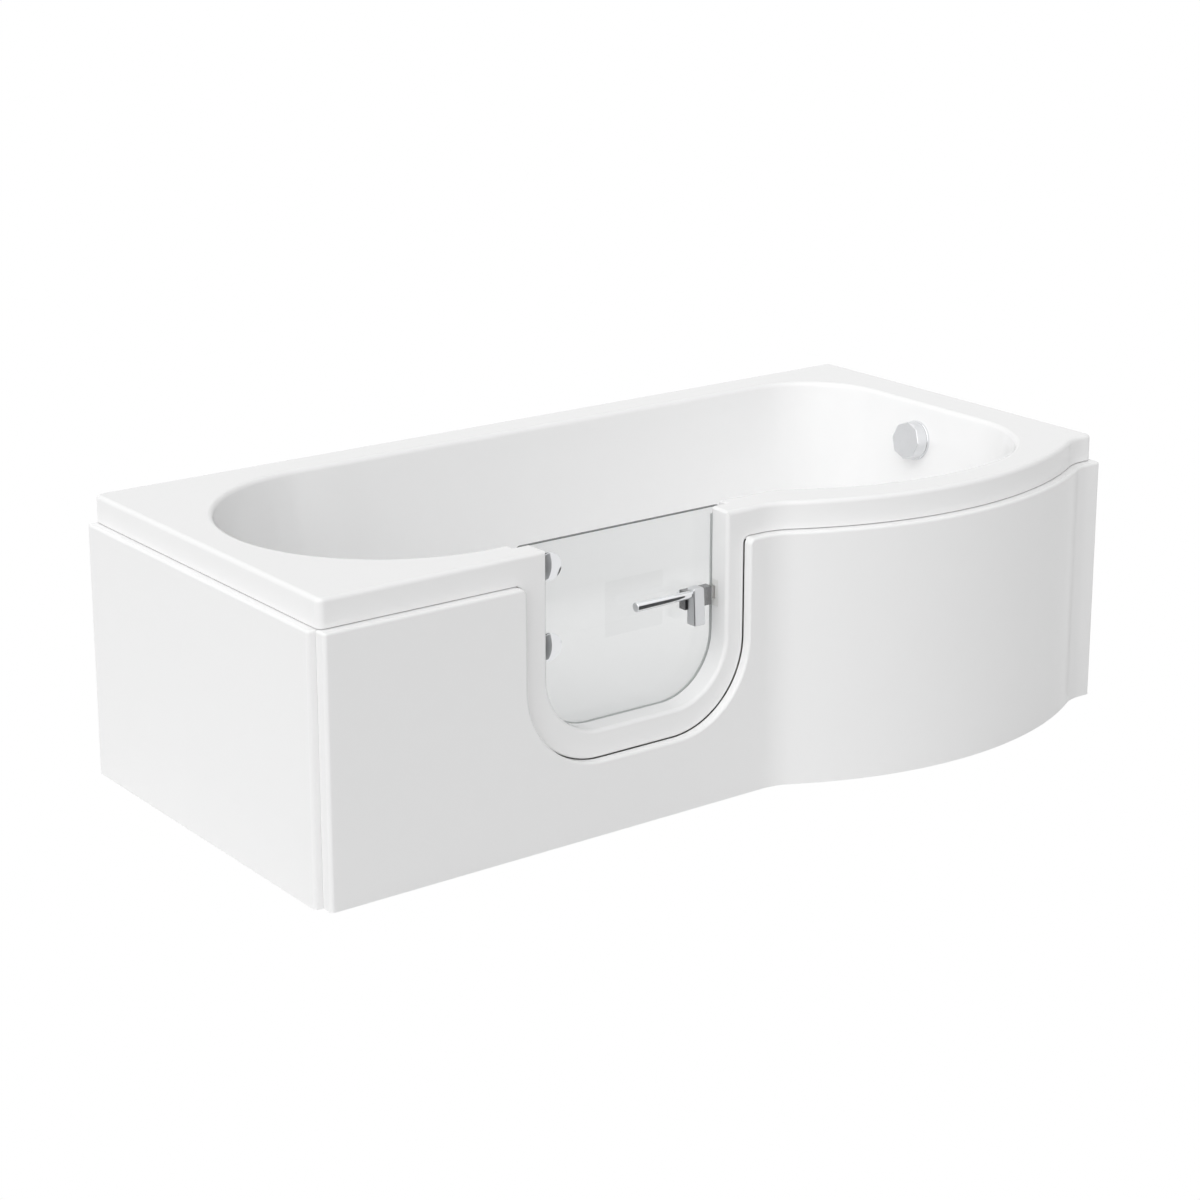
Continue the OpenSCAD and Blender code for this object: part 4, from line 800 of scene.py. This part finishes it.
def door_surround(bath):
    """What the door opening adds to the shell: the band, its webs to the skirt, the reveal
    and the rebated face."""
    door, wall, y = bath.door, bath.rim.wall, bath.front
    plate_top = bath.skirt + bath.rim.skirt / 2
    inside = bath.top - wall / 2
    fold = y + door.band_return
    lap = door.lap + door.recess + wall
    gap, panel_top = bath.panels.gap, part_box("front_panel")[1][2]
    front = [(bath.band(-i, plate_top), y + d) for i, d in fillet(door.band_edge, 4)]
    webs = [(bath.panel_cut(-gap - i, panel_top), y + d) for i, d in fillet(door.band_edge, 4)]
    return [
        ("UNION", front_solid("band", front + [(bath.band(0, plate_top), fold)])),
        ("UNION", front_solid("webs", webs + [(bath.panel_cut(-gap, panel_top), y + wall)])),
        ("DIFFERENCE", front_solid("band_inside", [(bath.band(-wall, plate_top + PAST), y + wall),
                                                   (bath.band(-wall, plate_top + PAST), fold + PAST)],
                                   "fibre_resin")),
        ("UNION", front_solid("reveal", [(bath.doorway(wall, inside), y + wall / 2),
                                         (bath.doorway(wall, inside), bath.reveal)], "fibre_resin")),
        ("UNION", front_solid("rebate", [(bath.doorway(lap, inside), bath.reveal - wall),
                                         (bath.doorway(lap, inside), y + door.recess_end + wall)],
                              "fibre_resin")),
    ]


def front_solid(name, levels, key="white_acrylic"):
    """A solid through rings in X and Z, stacked from the front to the wall side."""
    return solid(name, levels, key, "y")


def door_cuts(bath):
    """The opening, its rounded edges and the recess that the glass shuts into."""
    door, y, top = bath.door, bath.front, bath.top
    over = top + PAST
    through = [(bath.doorway(i, over), y + d - SKIN) for i, d in fillet(door.edge, 8)]
    through += [(bath.doorway(i, over), bath.reveal - d + SKIN) for i, d in fillet(door.inner_edge, 5)[::-1]]
    through = [(bath.doorway(door.edge, over), y - PAST)] + through
    through += [(bath.doorway(door.inner_edge, over), bath.reveal + PAST)]
    lap, ahead = door.lap + door.recess, 30 * MM
    return [
        ("DIFFERENCE", front_solid("opening", through)),
        ("DIFFERENCE", front_solid("recess", [(bath.doorway(lap, over), bath.reveal),
                                              (bath.doorway(lap, over), y + door.recess_end)])),
        ("DIFFERENCE", top_slot("opening_top", bath, 0, door.edge, y - ahead, bath.reveal + PAST / 2)),
        ("DIFFERENCE", top_slot("recess_top", bath, lap, door.recess_edge, bath.reveal + SKIN,
                                y + bath.basin.front + 2 * bath.basin.roll)),
    ]


def top_slot(name, bath, grow, radius, y0, y1):
    """A slot through the top of the rim with rounded long edges."""
    x0, x1 = bath.door_left - grow, bath.door_right + grow
    levels = [(rectangle(x0 - i, x1 + i, y0, y1), bath.top - d + SKIN) for i, d in fillet(radius, 8)]
    return solid(name, levels[::-1] + [(rectangle(x0 - radius, x1 + radius, y0, y1), bath.top + PAST)])


def block(name, low, high, key="white_acrylic"):
    """A box between two corners."""
    plan = rectangle(low[0], high[0], low[1], high[1])
    return solid(name, [(plan, low[2]), (plan, high[2])], key)


def hinge_seat(bath):
    """The flat seat of the hinge brackets in the front wall, as a wall and as its cut."""
    low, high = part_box("hinge_bracket_lower")[0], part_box("hinge_bracket_upper")[1]
    seat, deep, wall = bath.door.seat_room, bath.door.seat_depth, bath.rim.wall
    x0, y0, z0, z1 = low[0] - seat, low[1], low[2] - seat, high[2] + seat
    x1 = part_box("door_glass")[0][0] - bath.door.recess + PAST / 4
    return (block("seat_wall", (x0 - wall, y0 - wall, z0 - wall), (x1, y0 + wall, z1 + wall), "fibre_resin"),
            block("seat", (x0, y0, z0), (x1, y0 + deep, z1)))


def shell_holes(bath, fittings):
    """The holes for the waste, the knob's stem, the latch bolt and its strike plate."""
    low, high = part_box("waste_flange")
    waste = along_z((low[0] + high[0]) / 2, (low[1] + high[1]) / 2)
    floor, wall = bath.floor, bath.rim.wall
    door, door_right = bath.door, bath.door_right
    bolt_low, bolt_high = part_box("latch_bolt")
    strike_low, strike_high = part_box("strike_plate")
    play, seat = door.bolt_play, door.strike_fit
    tip = bolt_high[0] + joint("bolt_slide")["range_m"][1] + door.bolt_room
    under, before, behind = floor - wall - 2 * PAST, -30 * MM, 10 * MM
    return [
        ("DIFFERENCE", hole("waste_hole", fittings.waste_hole, under, floor + PAST, waste)),
        ("DIFFERENCE", hole("knob_hole", fittings.knob_hole, before, behind, knob_place())),
        ("DIFFERENCE", block("strike_hole", (door_right - PAST, bolt_low[1] - play, bolt_low[2] - play),
                             (tip, bolt_high[1] + play, bolt_high[2] + play))),
        ("DIFFERENCE", block("strike_seat",
                             (door_right - PAST, strike_low[1] - seat, strike_low[2] - seat),
                             (strike_high[0], strike_high[1] + seat, strike_high[2] + seat))),
    ]


def hole(name, size, start, end, place, key="white_acrylic", steps=64):
    """A round hole of a diameter, from one depth to another along its axis."""
    profile = [(0, start), (size / 2, start), (size / 2, end), (0, end)]
    return turned(name, profile, place, key, steps)


def turned(name, profile, place, key, steps):
    """A turned solid; its profile and place are as lathe() takes them."""
    return new_piece(name, *lathe(profile, place, steps), finish(key))


def joint(name):
    """A joint's row in the frame."""
    return next(j for j in frame["joints"] if j["name"] == name)


def knob_place():
    """Turns +X out of the end wall at the control knob, away from the basin."""
    turn = joint("knob_turn")
    axis = -Vector(turn["axis"]).normalized()
    return Matrix.Translation(turn["pos_m"]) @ axis.to_track_quat("X", "Z").to_matrix().to_4x4()


# ---- operators: panels ---------------------------------------------------------------

class BATH_OT_panels(bpy.types.Operator):
    """Build the bowed front panel and the panel of the left end"""
    bl_idname = "bath.panels"
    bl_label = "Bath Panels"

    def execute(self, context):
        bath = Bath(context.scene)
        front = soften(tidy(front_panel(bath)))
        fit(front, "root", "white_acrylic", "front_panel")
        end = soften(tidy(end_panel(bath)))
        fit(end, "root", "white_acrylic", "end_panel")
        return {"FINISHED"}


def front_panel(bath):
    """A thin bowed tray with its edges turned back, cut round the band of the door."""
    panels = bath.panels
    low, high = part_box("front_panel")
    face = low[1] + bath.bow_out
    t, back, top = panels.thickness, high[1], high[2]
    edge = [(bath.panel_ring(i, back), top - d) for i, d in fillet(panels.top_edge)]
    sheet = solid("Front_panel", [(bath.panel_ring(0, back), 0)] + edge[::-1])
    inside = bath.panel_ring(t, back + PAST)
    tray = solid("tray", [(inside, -PAST), (inside, top - t)], "fibre_resin")
    hollow = [(low[0] + panels.fold, back + PAST)] + bath.front_path(panels.fold - bath.front + face)
    hollow += [(high[0] - panels.fold, back + PAST)]
    open_back = solid("open_back", [(hollow, -PAST), (hollow, top + PAST)], "fibre_resin")
    round_band = bath.panel_cut(t, top)[1:-1]
    rim = front_solid("cut_rim", [(round_band, face + t / 2), (round_band, bath.front - 1 * MM)],
                      "fibre_resin")
    cut = [(bath.panel_cut(i, top), face + d - SKIN) for i, d in fillet(panels.cut_edge)]
    cut = [(bath.panel_cut(panels.cut_edge, top), face - PAST)] + cut
    cut += [(bath.panel_cut(0, top), back + PAST)]
    return combine(sheet, ("DIFFERENCE", tray), ("DIFFERENCE", open_back), ("UNION", rim),
                   ("DIFFERENCE", front_solid("door_cut", cut)))


def end_panel(bath):
    """A flat tray with its edges turned back."""
    panels = bath.panels
    low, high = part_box("end_panel")
    c, t = panels.edge, panels.thickness

    def ring(inset):
        return (arc((low[0] + c, low[1] + c), c - inset, 180, 270, 8)
                + [(low[0] + c, low[1] + inset), (high[0], low[1] + inset), (high[0], high[1] - inset)]
                + arc((low[0] + c, high[1] - c), c - inset, 90, 180, 8) + [(low[0] + inset, high[1] - c)])

    edge = [(ring(i), high[2] - d) for i, d in fillet(panels.top_edge)]
    sheet = solid("End_panel", [(ring(0), 0)] + edge[::-1])
    return combine(sheet, ("DIFFERENCE", block("tray", (low[0] + t, low[1] + t, -PAST),
                                               (high[0] + PAST, high[1] - t, high[2] - t), "fibre_resin")))


# ---- operators: door -----------------------------------------------------------------

class BATH_OT_door(bpy.types.Operator):
    """Build the glass door with its seal and the caps of its hinges"""
    bl_idname = "bath.door"
    bl_label = "Glass Door"

    def execute(self, context):
        bath, fittings = Bath(context.scene), context.scene.bath_fittings
        fit(soften(door_glass(bath, fittings), 30), "door", "door_glass", "door_glass")
        fit(soften(door_seal(bath, fittings), 30), "door", "clear_silicone", "door_seal")
        fit(soften(hinge_caps(fittings), 30), "door", "chrome", "hinge_caps")
        return {"FINISHED"}


def door_glass(bath, fittings):
    """The pane with its arris and its holes; its ground edge has a material of its own."""
    low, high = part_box("door_glass")
    a = bath.door.arris
    levels = [(bath.glass_ring(a), low[1]), (bath.glass_ring(0), low[1] + a),
              (bath.glass_ring(0), high[1] - a), (bath.glass_ring(a), high[1])]
    pane = front_solid("Door_glass", levels, "door_glass")
    holes = [(screw, fittings.screw_hole) for screw in hinge_screws()]
    latch = joint("latch_turn")["pos_m"]
    holes.append(((latch[0], latch[2]), fittings.bush_hole))
    for (x, z), size in holes:
        combine(pane, ("DIFFERENCE", hole("hole", size, low[1] - PAST, high[1] + PAST, along_y(x, z),
                                          "glass_edge", 48)))
    flat = 0.9                      # how nearly a face looks along Y to be clear glass
    for face in pane.data.polygons:
        face.material_index = 0 if abs(face.normal.y) > flat else 1
    return pane


def hinge_screws():
    """The places in X and Z of the two hinge screws: the middles of the caps."""
    low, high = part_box("hinge_caps")
    r = (high[0] - low[0]) / 2
    return [(low[0] + r, low[2] + r), (low[0] + r, high[2] - r)]


def door_seal(bath, fittings):
    """A strip round the three shut edges: a bulb that meets the rebated face along its outside
    and a lip along its inside."""
    low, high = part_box("door_seal")
    grow = bath.door_left - low[0]
    inner, bulb, deep = grow - fittings.seal, fittings.bulb, high[1] - low[1]
    turn = [math.radians(180 * i / 8) for i in range(9)]
    section = [(grow - bulb / 2 + bulb / 2 * math.cos(a), high[1] - deep / 2 - deep / 2 * math.sin(a))
               for a in turn]
    web, lip = high[1] - 0.35 * deep, fittings.seal_lip
    section = ([(grow, high[1])] + section
               + [(grow - bulb, web), (inner + lip, web), (inner + 0.7 * lip, low[1]),
                  (inner, low[1] + 0.3 * deep), (inner, high[1])])
    paths = [[(x, y, z) for x, z in bath.doorway(g, high[2])] for g, y in section]
    return new_piece("Door_seal", *sweep(paths), finish("clear_silicone"))


def hinge_caps(fittings):
    """Two domed caps with a blind hole for the screw."""
    low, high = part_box("hinge_caps")
    r, deep, dome = (high[0] - low[0]) / 2, high[1] - low[1], fittings.cap_dome
    curve = (r * r + dome * dome) / (2 * dome)
    top = [(r * i / 14, curve - math.sqrt(curve ** 2 - (r * i / 14) ** 2)) for i in range(14)]
    e, inside, floor = fittings.cap_edge, fittings.cap_hole, deep / 2 - 0.1 * MM
    edge = [(0.985 * r, 0.96 * dome), (r, dome + e), (r, deep - e), (r - e, deep)]
    profile = top + edge + [(inside, deep), (inside, floor), (0, floor)]
    profile = [(radius, low[1] + depth) for radius, depth in profile]
    points, faces = [], []
    for x, z in hinge_screws():
        more, sides = lathe(profile, along_y(x, z), 96)
        faces += [tuple(i + len(points) for i in face) for face in sides]
        points += more
    return new_piece("Hinge_caps", points, faces, finish("chrome"))


# ---- operators: latch ----------------------------------------------------------------

class BATH_OT_latch(bpy.types.Operator):
    """Build the latch's lever block and its tapering handle bar"""
    bl_idname = "bath.latch"
    bl_label = "Door Latch"

    def execute(self, context):
        fittings = context.scene.bath_fittings
        fit(soften(latch_lever(fittings), 30), "latch", "satin_metal", "latch_lever")
        fit(soften(handle_bar(fittings), 30), "latch", "chrome", "handle_bar")
        return {"FINISHED"}


def latch_lever(fittings):
    """A block with rounded top corners; its front face leans back towards its head."""
    low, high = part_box("latch_lever")
    e, c, chamfer = fittings.lever_edge, fittings.lever_corner, fittings.lever_back

    def ring(inset):
        return rounded(low[0] + inset, high[0] - inset, low[2] + inset, high[2] - inset,
                       fittings.lever_foot - inset, c - inset)

    front = [(ring(i), low[1] + d) for i, d in fillet(e)]
    points, faces = loft(front + [(ring(0), high[1] - chamfer), (ring(chamfer), high[1])], "y")
    tall, less = high[2] - low[2], fittings.lever_head / (high[1] - low[1])
    lean = [(x, high[1] - (high[1] - y) * (1 - less * (z - low[2]) / tall), z) for x, y, z in points]
    return new_piece("Latch_lever", lean, faces, finish("satin_metal"))


def handle_bar(fittings):
    """A round bar, thickest at its free end, which is flat with a small rounded edge."""
    low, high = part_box("handle_bar")
    r, e = (high[2] - low[2]) / 2, fittings.bar_edge
    place = Matrix.Translation((low[0], (low[1] + high[1]) / 2, (low[2] + high[2]) / 2))
    end = [(r - e + e * math.sin(math.radians(a)), e * (1 - math.cos(math.radians(a))))
           for a in range(0, 91, 15)]
    profile = [(0, 0)] + end + [(fittings.bar_root / 2, high[0] - low[0]), (0, high[0] - low[0])]
    return turned("Handle_bar", profile, place, "chrome", 72)


# ---- operators: knob and waste -------------------------------------------------------

class BATH_OT_knob(bpy.types.Operator):
    """Build the eight-sided control knob and the rose behind it"""
    bl_idname = "bath.knob"
    bl_label = "Control Knob"

    def execute(self, context):
        fittings = context.scene.bath_fittings
        fit(soften(control_knob(fittings), 25), "knob", "chrome", "control_knob")
        fit(soften(knob_rose(fittings), 30), "root", "chrome", "overflow_rose")
        return {"FINISHED"}


def control_knob(fittings):
    """Round where it meets the rose, eight-sided at its face, with a stem behind."""
    steps, place = 96, knob_place()
    r, base = fittings.knob / 2, -fittings.rose - fittings.rose_gap
    face = base - fittings.knob_depth

    def ring(out, round_share, depth):
        """A ring between the octagon, at 0, and the circle, at 1."""
        points = []
        for i in range(steps):
            a = 2 * math.pi * i / steps
            flat = math.cos(math.pi / 8) / math.cos((a + math.pi / 8) % (math.pi / 4) - math.pi / 8)
            eight = (r - fittings.knob_flat) * flat
            radius = eight + (r - eight) * round_share + out
            points.append(place @ Vector((depth, radius * math.cos(a + math.pi / 8),
                                          radius * math.sin(a + math.pi / 8))))
        return points

    e, rim, chamfer = fittings.knob_edge, fittings.knob_rim, fittings.knob_chamfer
    rings = [ring(-e * (1 - math.sin(math.radians(a))), 0, face + e * (1 - math.cos(math.radians(a))))
             for a in range(0, 91, 18)]
    rings += [ring(0, k / 5, face + e + (base - rim - face - e) * k / 5) for k in range(1, 6)]
    rings += [ring(0, 1, base - chamfer), ring(-chamfer, 1, base)]
    stem = fittings.knob_stem / 2
    for depth, radius in ((base, stem), (fittings.knob_reach, stem)):
        rings.append([place @ Vector((depth, y, z)) for y, z in arc((0, 0), radius, 22.5, 382.5, steps)])
    points = [p for ring_points in rings for p in ring_points]
    faces = [tuple(range(steps)), tuple(range(len(points) - steps, len(points)))]
    for level in range(len(rings) - 1):
        for i in range(steps):
            a, b = level * steps + i, level * steps + (i + 1) % steps
            faces.append((a, b, b + steps, a + steps))
    return new_piece("Control_knob", points, faces, finish("chrome"))


def knob_rose(fittings):
    """A flat ring with a rounded outer edge."""
    r, inside = fittings.knob / 2 + fittings.rose_past, fittings.knob_stem / 2 + fittings.rose_gap
    t, e, back = fittings.rose, fittings.rose_edge, -0.05 * MM
    edge = [(r - e + e * math.sin(math.radians(a)), -t + e * (1 - math.cos(math.radians(a))))
            for a in range(0, 91, 18)]
    profile = [(inside, -t)] + edge + [(r, back), (inside, back)]
    return turned("Knob_rose", profile, knob_place(), "chrome", 96)


# ---- operators: CAD nodes ------------------------------------------------------------

class BATH_OT_hardware(bpy.types.Operator):
    """Give every piece that keeps its CAD shape its material and its broken edges"""
    bl_idname = "bath.hardware"
    bl_label = "Hardware and Underframe"

    def execute(self, context):
        slots = {part["node"]: part["material_slot"] for part in frame["record"]["subparts"]}
        for name, node in frame["nodes"].items():
            if name not in DRESSED:
                dress(node, slots[name], name if name in MAKERS else slots[name])
        return {"FINISHED"}


DRESSED = ("bath_shell", "door_surround", "front_panel", "end_panel", "door_glass", "door_seal", "hinge_caps",
           "latch_lever", "handle_bar", "control_knob", "overflow_rose")
EDGES = {"chrome": 0.6, "steel": 0.4, "zinc_plated_steel": 0.8, "plywood": 0.5, "white_nylon": 0.6,
         "black_rubber": 0.5}


def dress(node, slot, look):
    """A material on a CAD node, and a bevel in millimetres to suit how its slot is made."""
    node.data.materials.clear()
    node.data.materials.append(finish(look))
    soften(node, bevel=EDGES[slot] * MM)


# ---- operators: the stage ------------------------------------------------------------

class BATH_OT_stage(bpy.types.Operator):
    """Set up the camera, the lamps, the pale floor and the light of the room"""
    bl_idname = "bath.stage"
    bl_label = "Stage"

    def execute(self, context):
        stage = context.scene.bath_stage
        context.scene.view_settings.view_transform = "Standard"
        set_camera(context.scene, stage)
        set_room(context.scene, stage)
        studio_floor()
        shaded_floor()
        soft_light("Key_light", stage.key_from, stage.key, stage.key_angle)
        soft_light("Top_light", (0, 0, 1), stage.top, stage.top_angle)
        for number, flag in enumerate(FLAGS, 1):
            grey_flag("Grey_flag_%d" % number, *flag)
        return {"FINISHED"}


def set_camera(scene, stage):
    """A long lens that looks down on the bath from the left of its front."""
    data = bpy.data.cameras.new("Camera")
    data.lens = stage.lens
    data.sensor_width = 36
    data.shift_y = stage.shift
    data.clip_end = 200
    camera = bpy.data.objects.new("Camera", data)
    camera.location = stage.camera
    camera.rotation_euler = (math.radians(90) - stage.tilt, 0, -stage.heading)
    scene.collection.objects.link(camera)
    scene.camera = camera


def seen_directly(tree):
    """1 for camera, glossy and transmission rays, which see the white background."""
    rays = add(tree, "ShaderNodeLightPath").outputs
    either = add(tree, "ShaderNodeMath", {0: rays["Is Camera Ray"], 1: rays["Is Glossy Ray"]},
                 operation="MAXIMUM").outputs[0]
    return add(tree, "ShaderNodeMath", {0: either, 1: rays["Is Transmission Ray"]},
               operation="MAXIMUM").outputs[0]


def set_room(scene, stage):
    """Light from all round, brighter on the left, and white where the background is seen."""
    world = bpy.data.worlds.new("Room")
    world.use_nodes = True
    tree = world.node_tree
    background = next(n for n in tree.nodes if n.type == "BACKGROUND")
    background.inputs["Color"].default_value = (1, 1, 1, 1)
    side = add(tree, "ShaderNodeSeparateXYZ",
               {"Vector": add(tree, "ShaderNodeTexCoord").outputs["Generated"]}).outputs["X"]
    lit = add(tree, "ShaderNodeMapRange", {"Value": side, "From Min": -1.0, "From Max": 1.0,
                                           "To Min": stage.room * (1 + stage.room_side),
                                           "To Max": stage.room * (1 - stage.room_side)}).outputs[0]
    strength = between(tree, seen_directly(tree), lit, 1.0)
    tree.links.new(strength, background.inputs["Strength"])
    scene.world = world


# Grey flags that only reflections see: painted reflections, darker on the left and lighter on the right, that give
# the chrome its contrast. The middle of each, its width and height, and its colours on the left and on the right
FLAGS = (((-0.384, -0.302, 0.470), (0.056, 0.110), "303030", "F4F4F4"),
         ((-0.384, -0.302, 0.325), (0.056, 0.100), "303030", "F4F4F4"),
         ((-0.148, -0.335, 0.345), (0.125, 0.100), "606060", "808080"))


def grey_flag(name, place, size, left, right):
    x, y, z = place
    w, h = size[0] / 2, size[1] / 2
    # painted reflection: the sheet's tone runs from dark to light across it, and the chrome mirrors it
    made = bpy.data.materials.new("painted_reflection_flag")
    made.use_nodes = True
    tree = made.node_tree
    shader = next(n for n in tree.nodes if n.type == "BSDF_PRINCIPLED")
    across = add(tree, "ShaderNodeSeparateXYZ",
                 {"Vector": add(tree, "ShaderNodeTexCoord").outputs["Object"]}).outputs["X"]
    share = add(tree, "ShaderNodeMapRange", {"Value": across, "From Min": x - w, "From Max": x + w})
    tone = blend(tree, share.outputs[0], shade(linear(left)), shade(linear(right)))
    tree.links.new(tone, shader.inputs["Base Color"])
    shader.inputs["Roughness"].default_value = 0.95
    flag = new_piece(name, [(x - w, y, z - h), (x + w, y, z - h), (x + w, y, z + h), (x - w, y, z + h)],
                     [(0, 1, 2, 3)], made)
    flag.visible_camera = flag.visible_diffuse = flag.visible_shadow = flag.visible_transmission = False
    return flag


def soft_light(name, source, strength, width):
    """A light from far away, so that it is even over the whole bath, with soft shadows."""
    data = bpy.data.lights.new(name, "SUN")
    data.energy = strength
    data.angle = width
    made = bpy.data.objects.new(name, data)
    made.location = Vector(source).normalized() * 4
    made.rotation_euler = (-Vector(source)).to_track_quat("-Z", "Y").to_euler()
    bpy.context.scene.collection.objects.link(made)


def studio_floor():
    """A wide pale floor that lights the bath from below and is plain white where it is seen."""
    reach, rings, steps = 80.0, 6, 48          # metres to its edge, rings of faces, faces in a ring
    points = [(0.0, 0.0, 0.0)]
    for ring in range(1, rings + 1):
        points += [(x, y, 0.0) for x, y in arc((0, 0), reach * (ring / rings) ** 3, 0, 360, steps)]
    faces = [(0, 1 + i, 1 + (i + 1) % steps) for i in range(steps)]
    for ring in range(rings - 1):
        for i in range(steps):
            a, b = 1 + ring * steps + i, 1 + ring * steps + (i + 1) % steps
            faces.append((a, a + steps, b + steps, b))
    made = bpy.data.materials.new("painted_studio_floor")
    made.use_nodes = True
    tree = made.node_tree
    tree.nodes.clear()
    matt = add(tree, "ShaderNodeBsdfDiffuse", {"Color": shade(linear("CDCDCD"))}).outputs[0]
    glow = add(tree, "ShaderNodeEmission", {"Strength": 1.0}).outputs[0]
    mix = add(tree, "ShaderNodeMixShader", {0: seen_directly(tree), 1: matt, 2: glow}).outputs[0]
    add(tree, "ShaderNodeOutputMaterial", {"Surface": mix})
    return new_piece("Studio_floor", points, faces, made)


def shaded_floor():
    """The floor closed in behind the panels, which stays in their shade; its darker grey than the studio floor is
    painted shade on top of that.
    """
    low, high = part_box("front_panel")[0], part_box("end_panel")[1]
    inside, straight = 12 * MM, bpy.context.scene.bath_rim.straight_width
    x0, x1 = low[0] + inside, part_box("front_panel")[1][0] - inside
    y0, y1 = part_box("bath_shell")[1][1] - straight + 5 * MM, high[1] - inside
    made = bpy.data.materials.new("painted_shade_floor")
    made.use_nodes = True
    tree = made.node_tree
    shader = next(n for n in tree.nodes if n.type == "BSDF_PRINCIPLED")
    place = add(tree, "ShaderNodeTexCoord").outputs["Object"]
    grain = noise(tree, place, 6, 5.0)
    # painted shade: a darker grey than the studio floor, with a grain, where the panels shade it
    tree.links.new(two_tone(tree, grain, linear("8E8B86"), 0.8, 1.1), shader.inputs["Base Color"])
    shader.inputs["Roughness"].default_value = 0.9
    plan = rectangle(x0, x1, y0, y1)
    return new_piece("Shaded_floor", *loft([(plan, -1 * MM), (plan, 0.4 * MM)]), made)


# ---- the add-on ----------------------------------------------------------------------

class BATH_PT_sidebar(bpy.types.Panel):
    """The buttons that build the bath"""
    bl_idname = "BATH_PT_sidebar"
    bl_label = "Walk-in Bath"
    bl_space_type = "VIEW_3D"
    bl_region_type = "UI"
    bl_category = "Bath"

    def draw(self, context):
        for made in OPERATORS:
            self.layout.operator(made.bl_idname)


OPERATORS = (BATH_OT_stage, BATH_OT_shell, BATH_OT_panels, BATH_OT_door, BATH_OT_latch, BATH_OT_knob,
             BATH_OT_hardware)

CLASSES = (BathRim, BathBasin, BathDoorway, BathPanels, BathFittings, BathFinishes, BathStage, *OPERATORS,
           BATH_PT_sidebar)
GROUPS = {"bath_rim": BathRim, "bath_basin": BathBasin, "bath_doorway": BathDoorway,
          "bath_panels": BathPanels, "bath_fittings": BathFittings, "bath_finishes": BathFinishes,
          "bath_stage": BathStage}


def register():
    for made in CLASSES:
        bpy.utils.register_class(made)
    for name, group in GROUPS.items():
        setattr(bpy.types.Scene, name, PointerProperty(type=group))


def unregister():
    for name in GROUPS:
        delattr(bpy.types.Scene, name)
    for made in reversed(CLASSES):
        bpy.utils.unregister_class(made)


def main():
    register()
    bpy.ops.bath.stage()
    bpy.ops.bath.shell()
    bpy.ops.bath.panels()
    bpy.ops.bath.door()
    bpy.ops.bath.latch()
    bpy.ops.bath.knob()
    bpy.ops.bath.hardware()


if __name__ == "__main__":
    main()
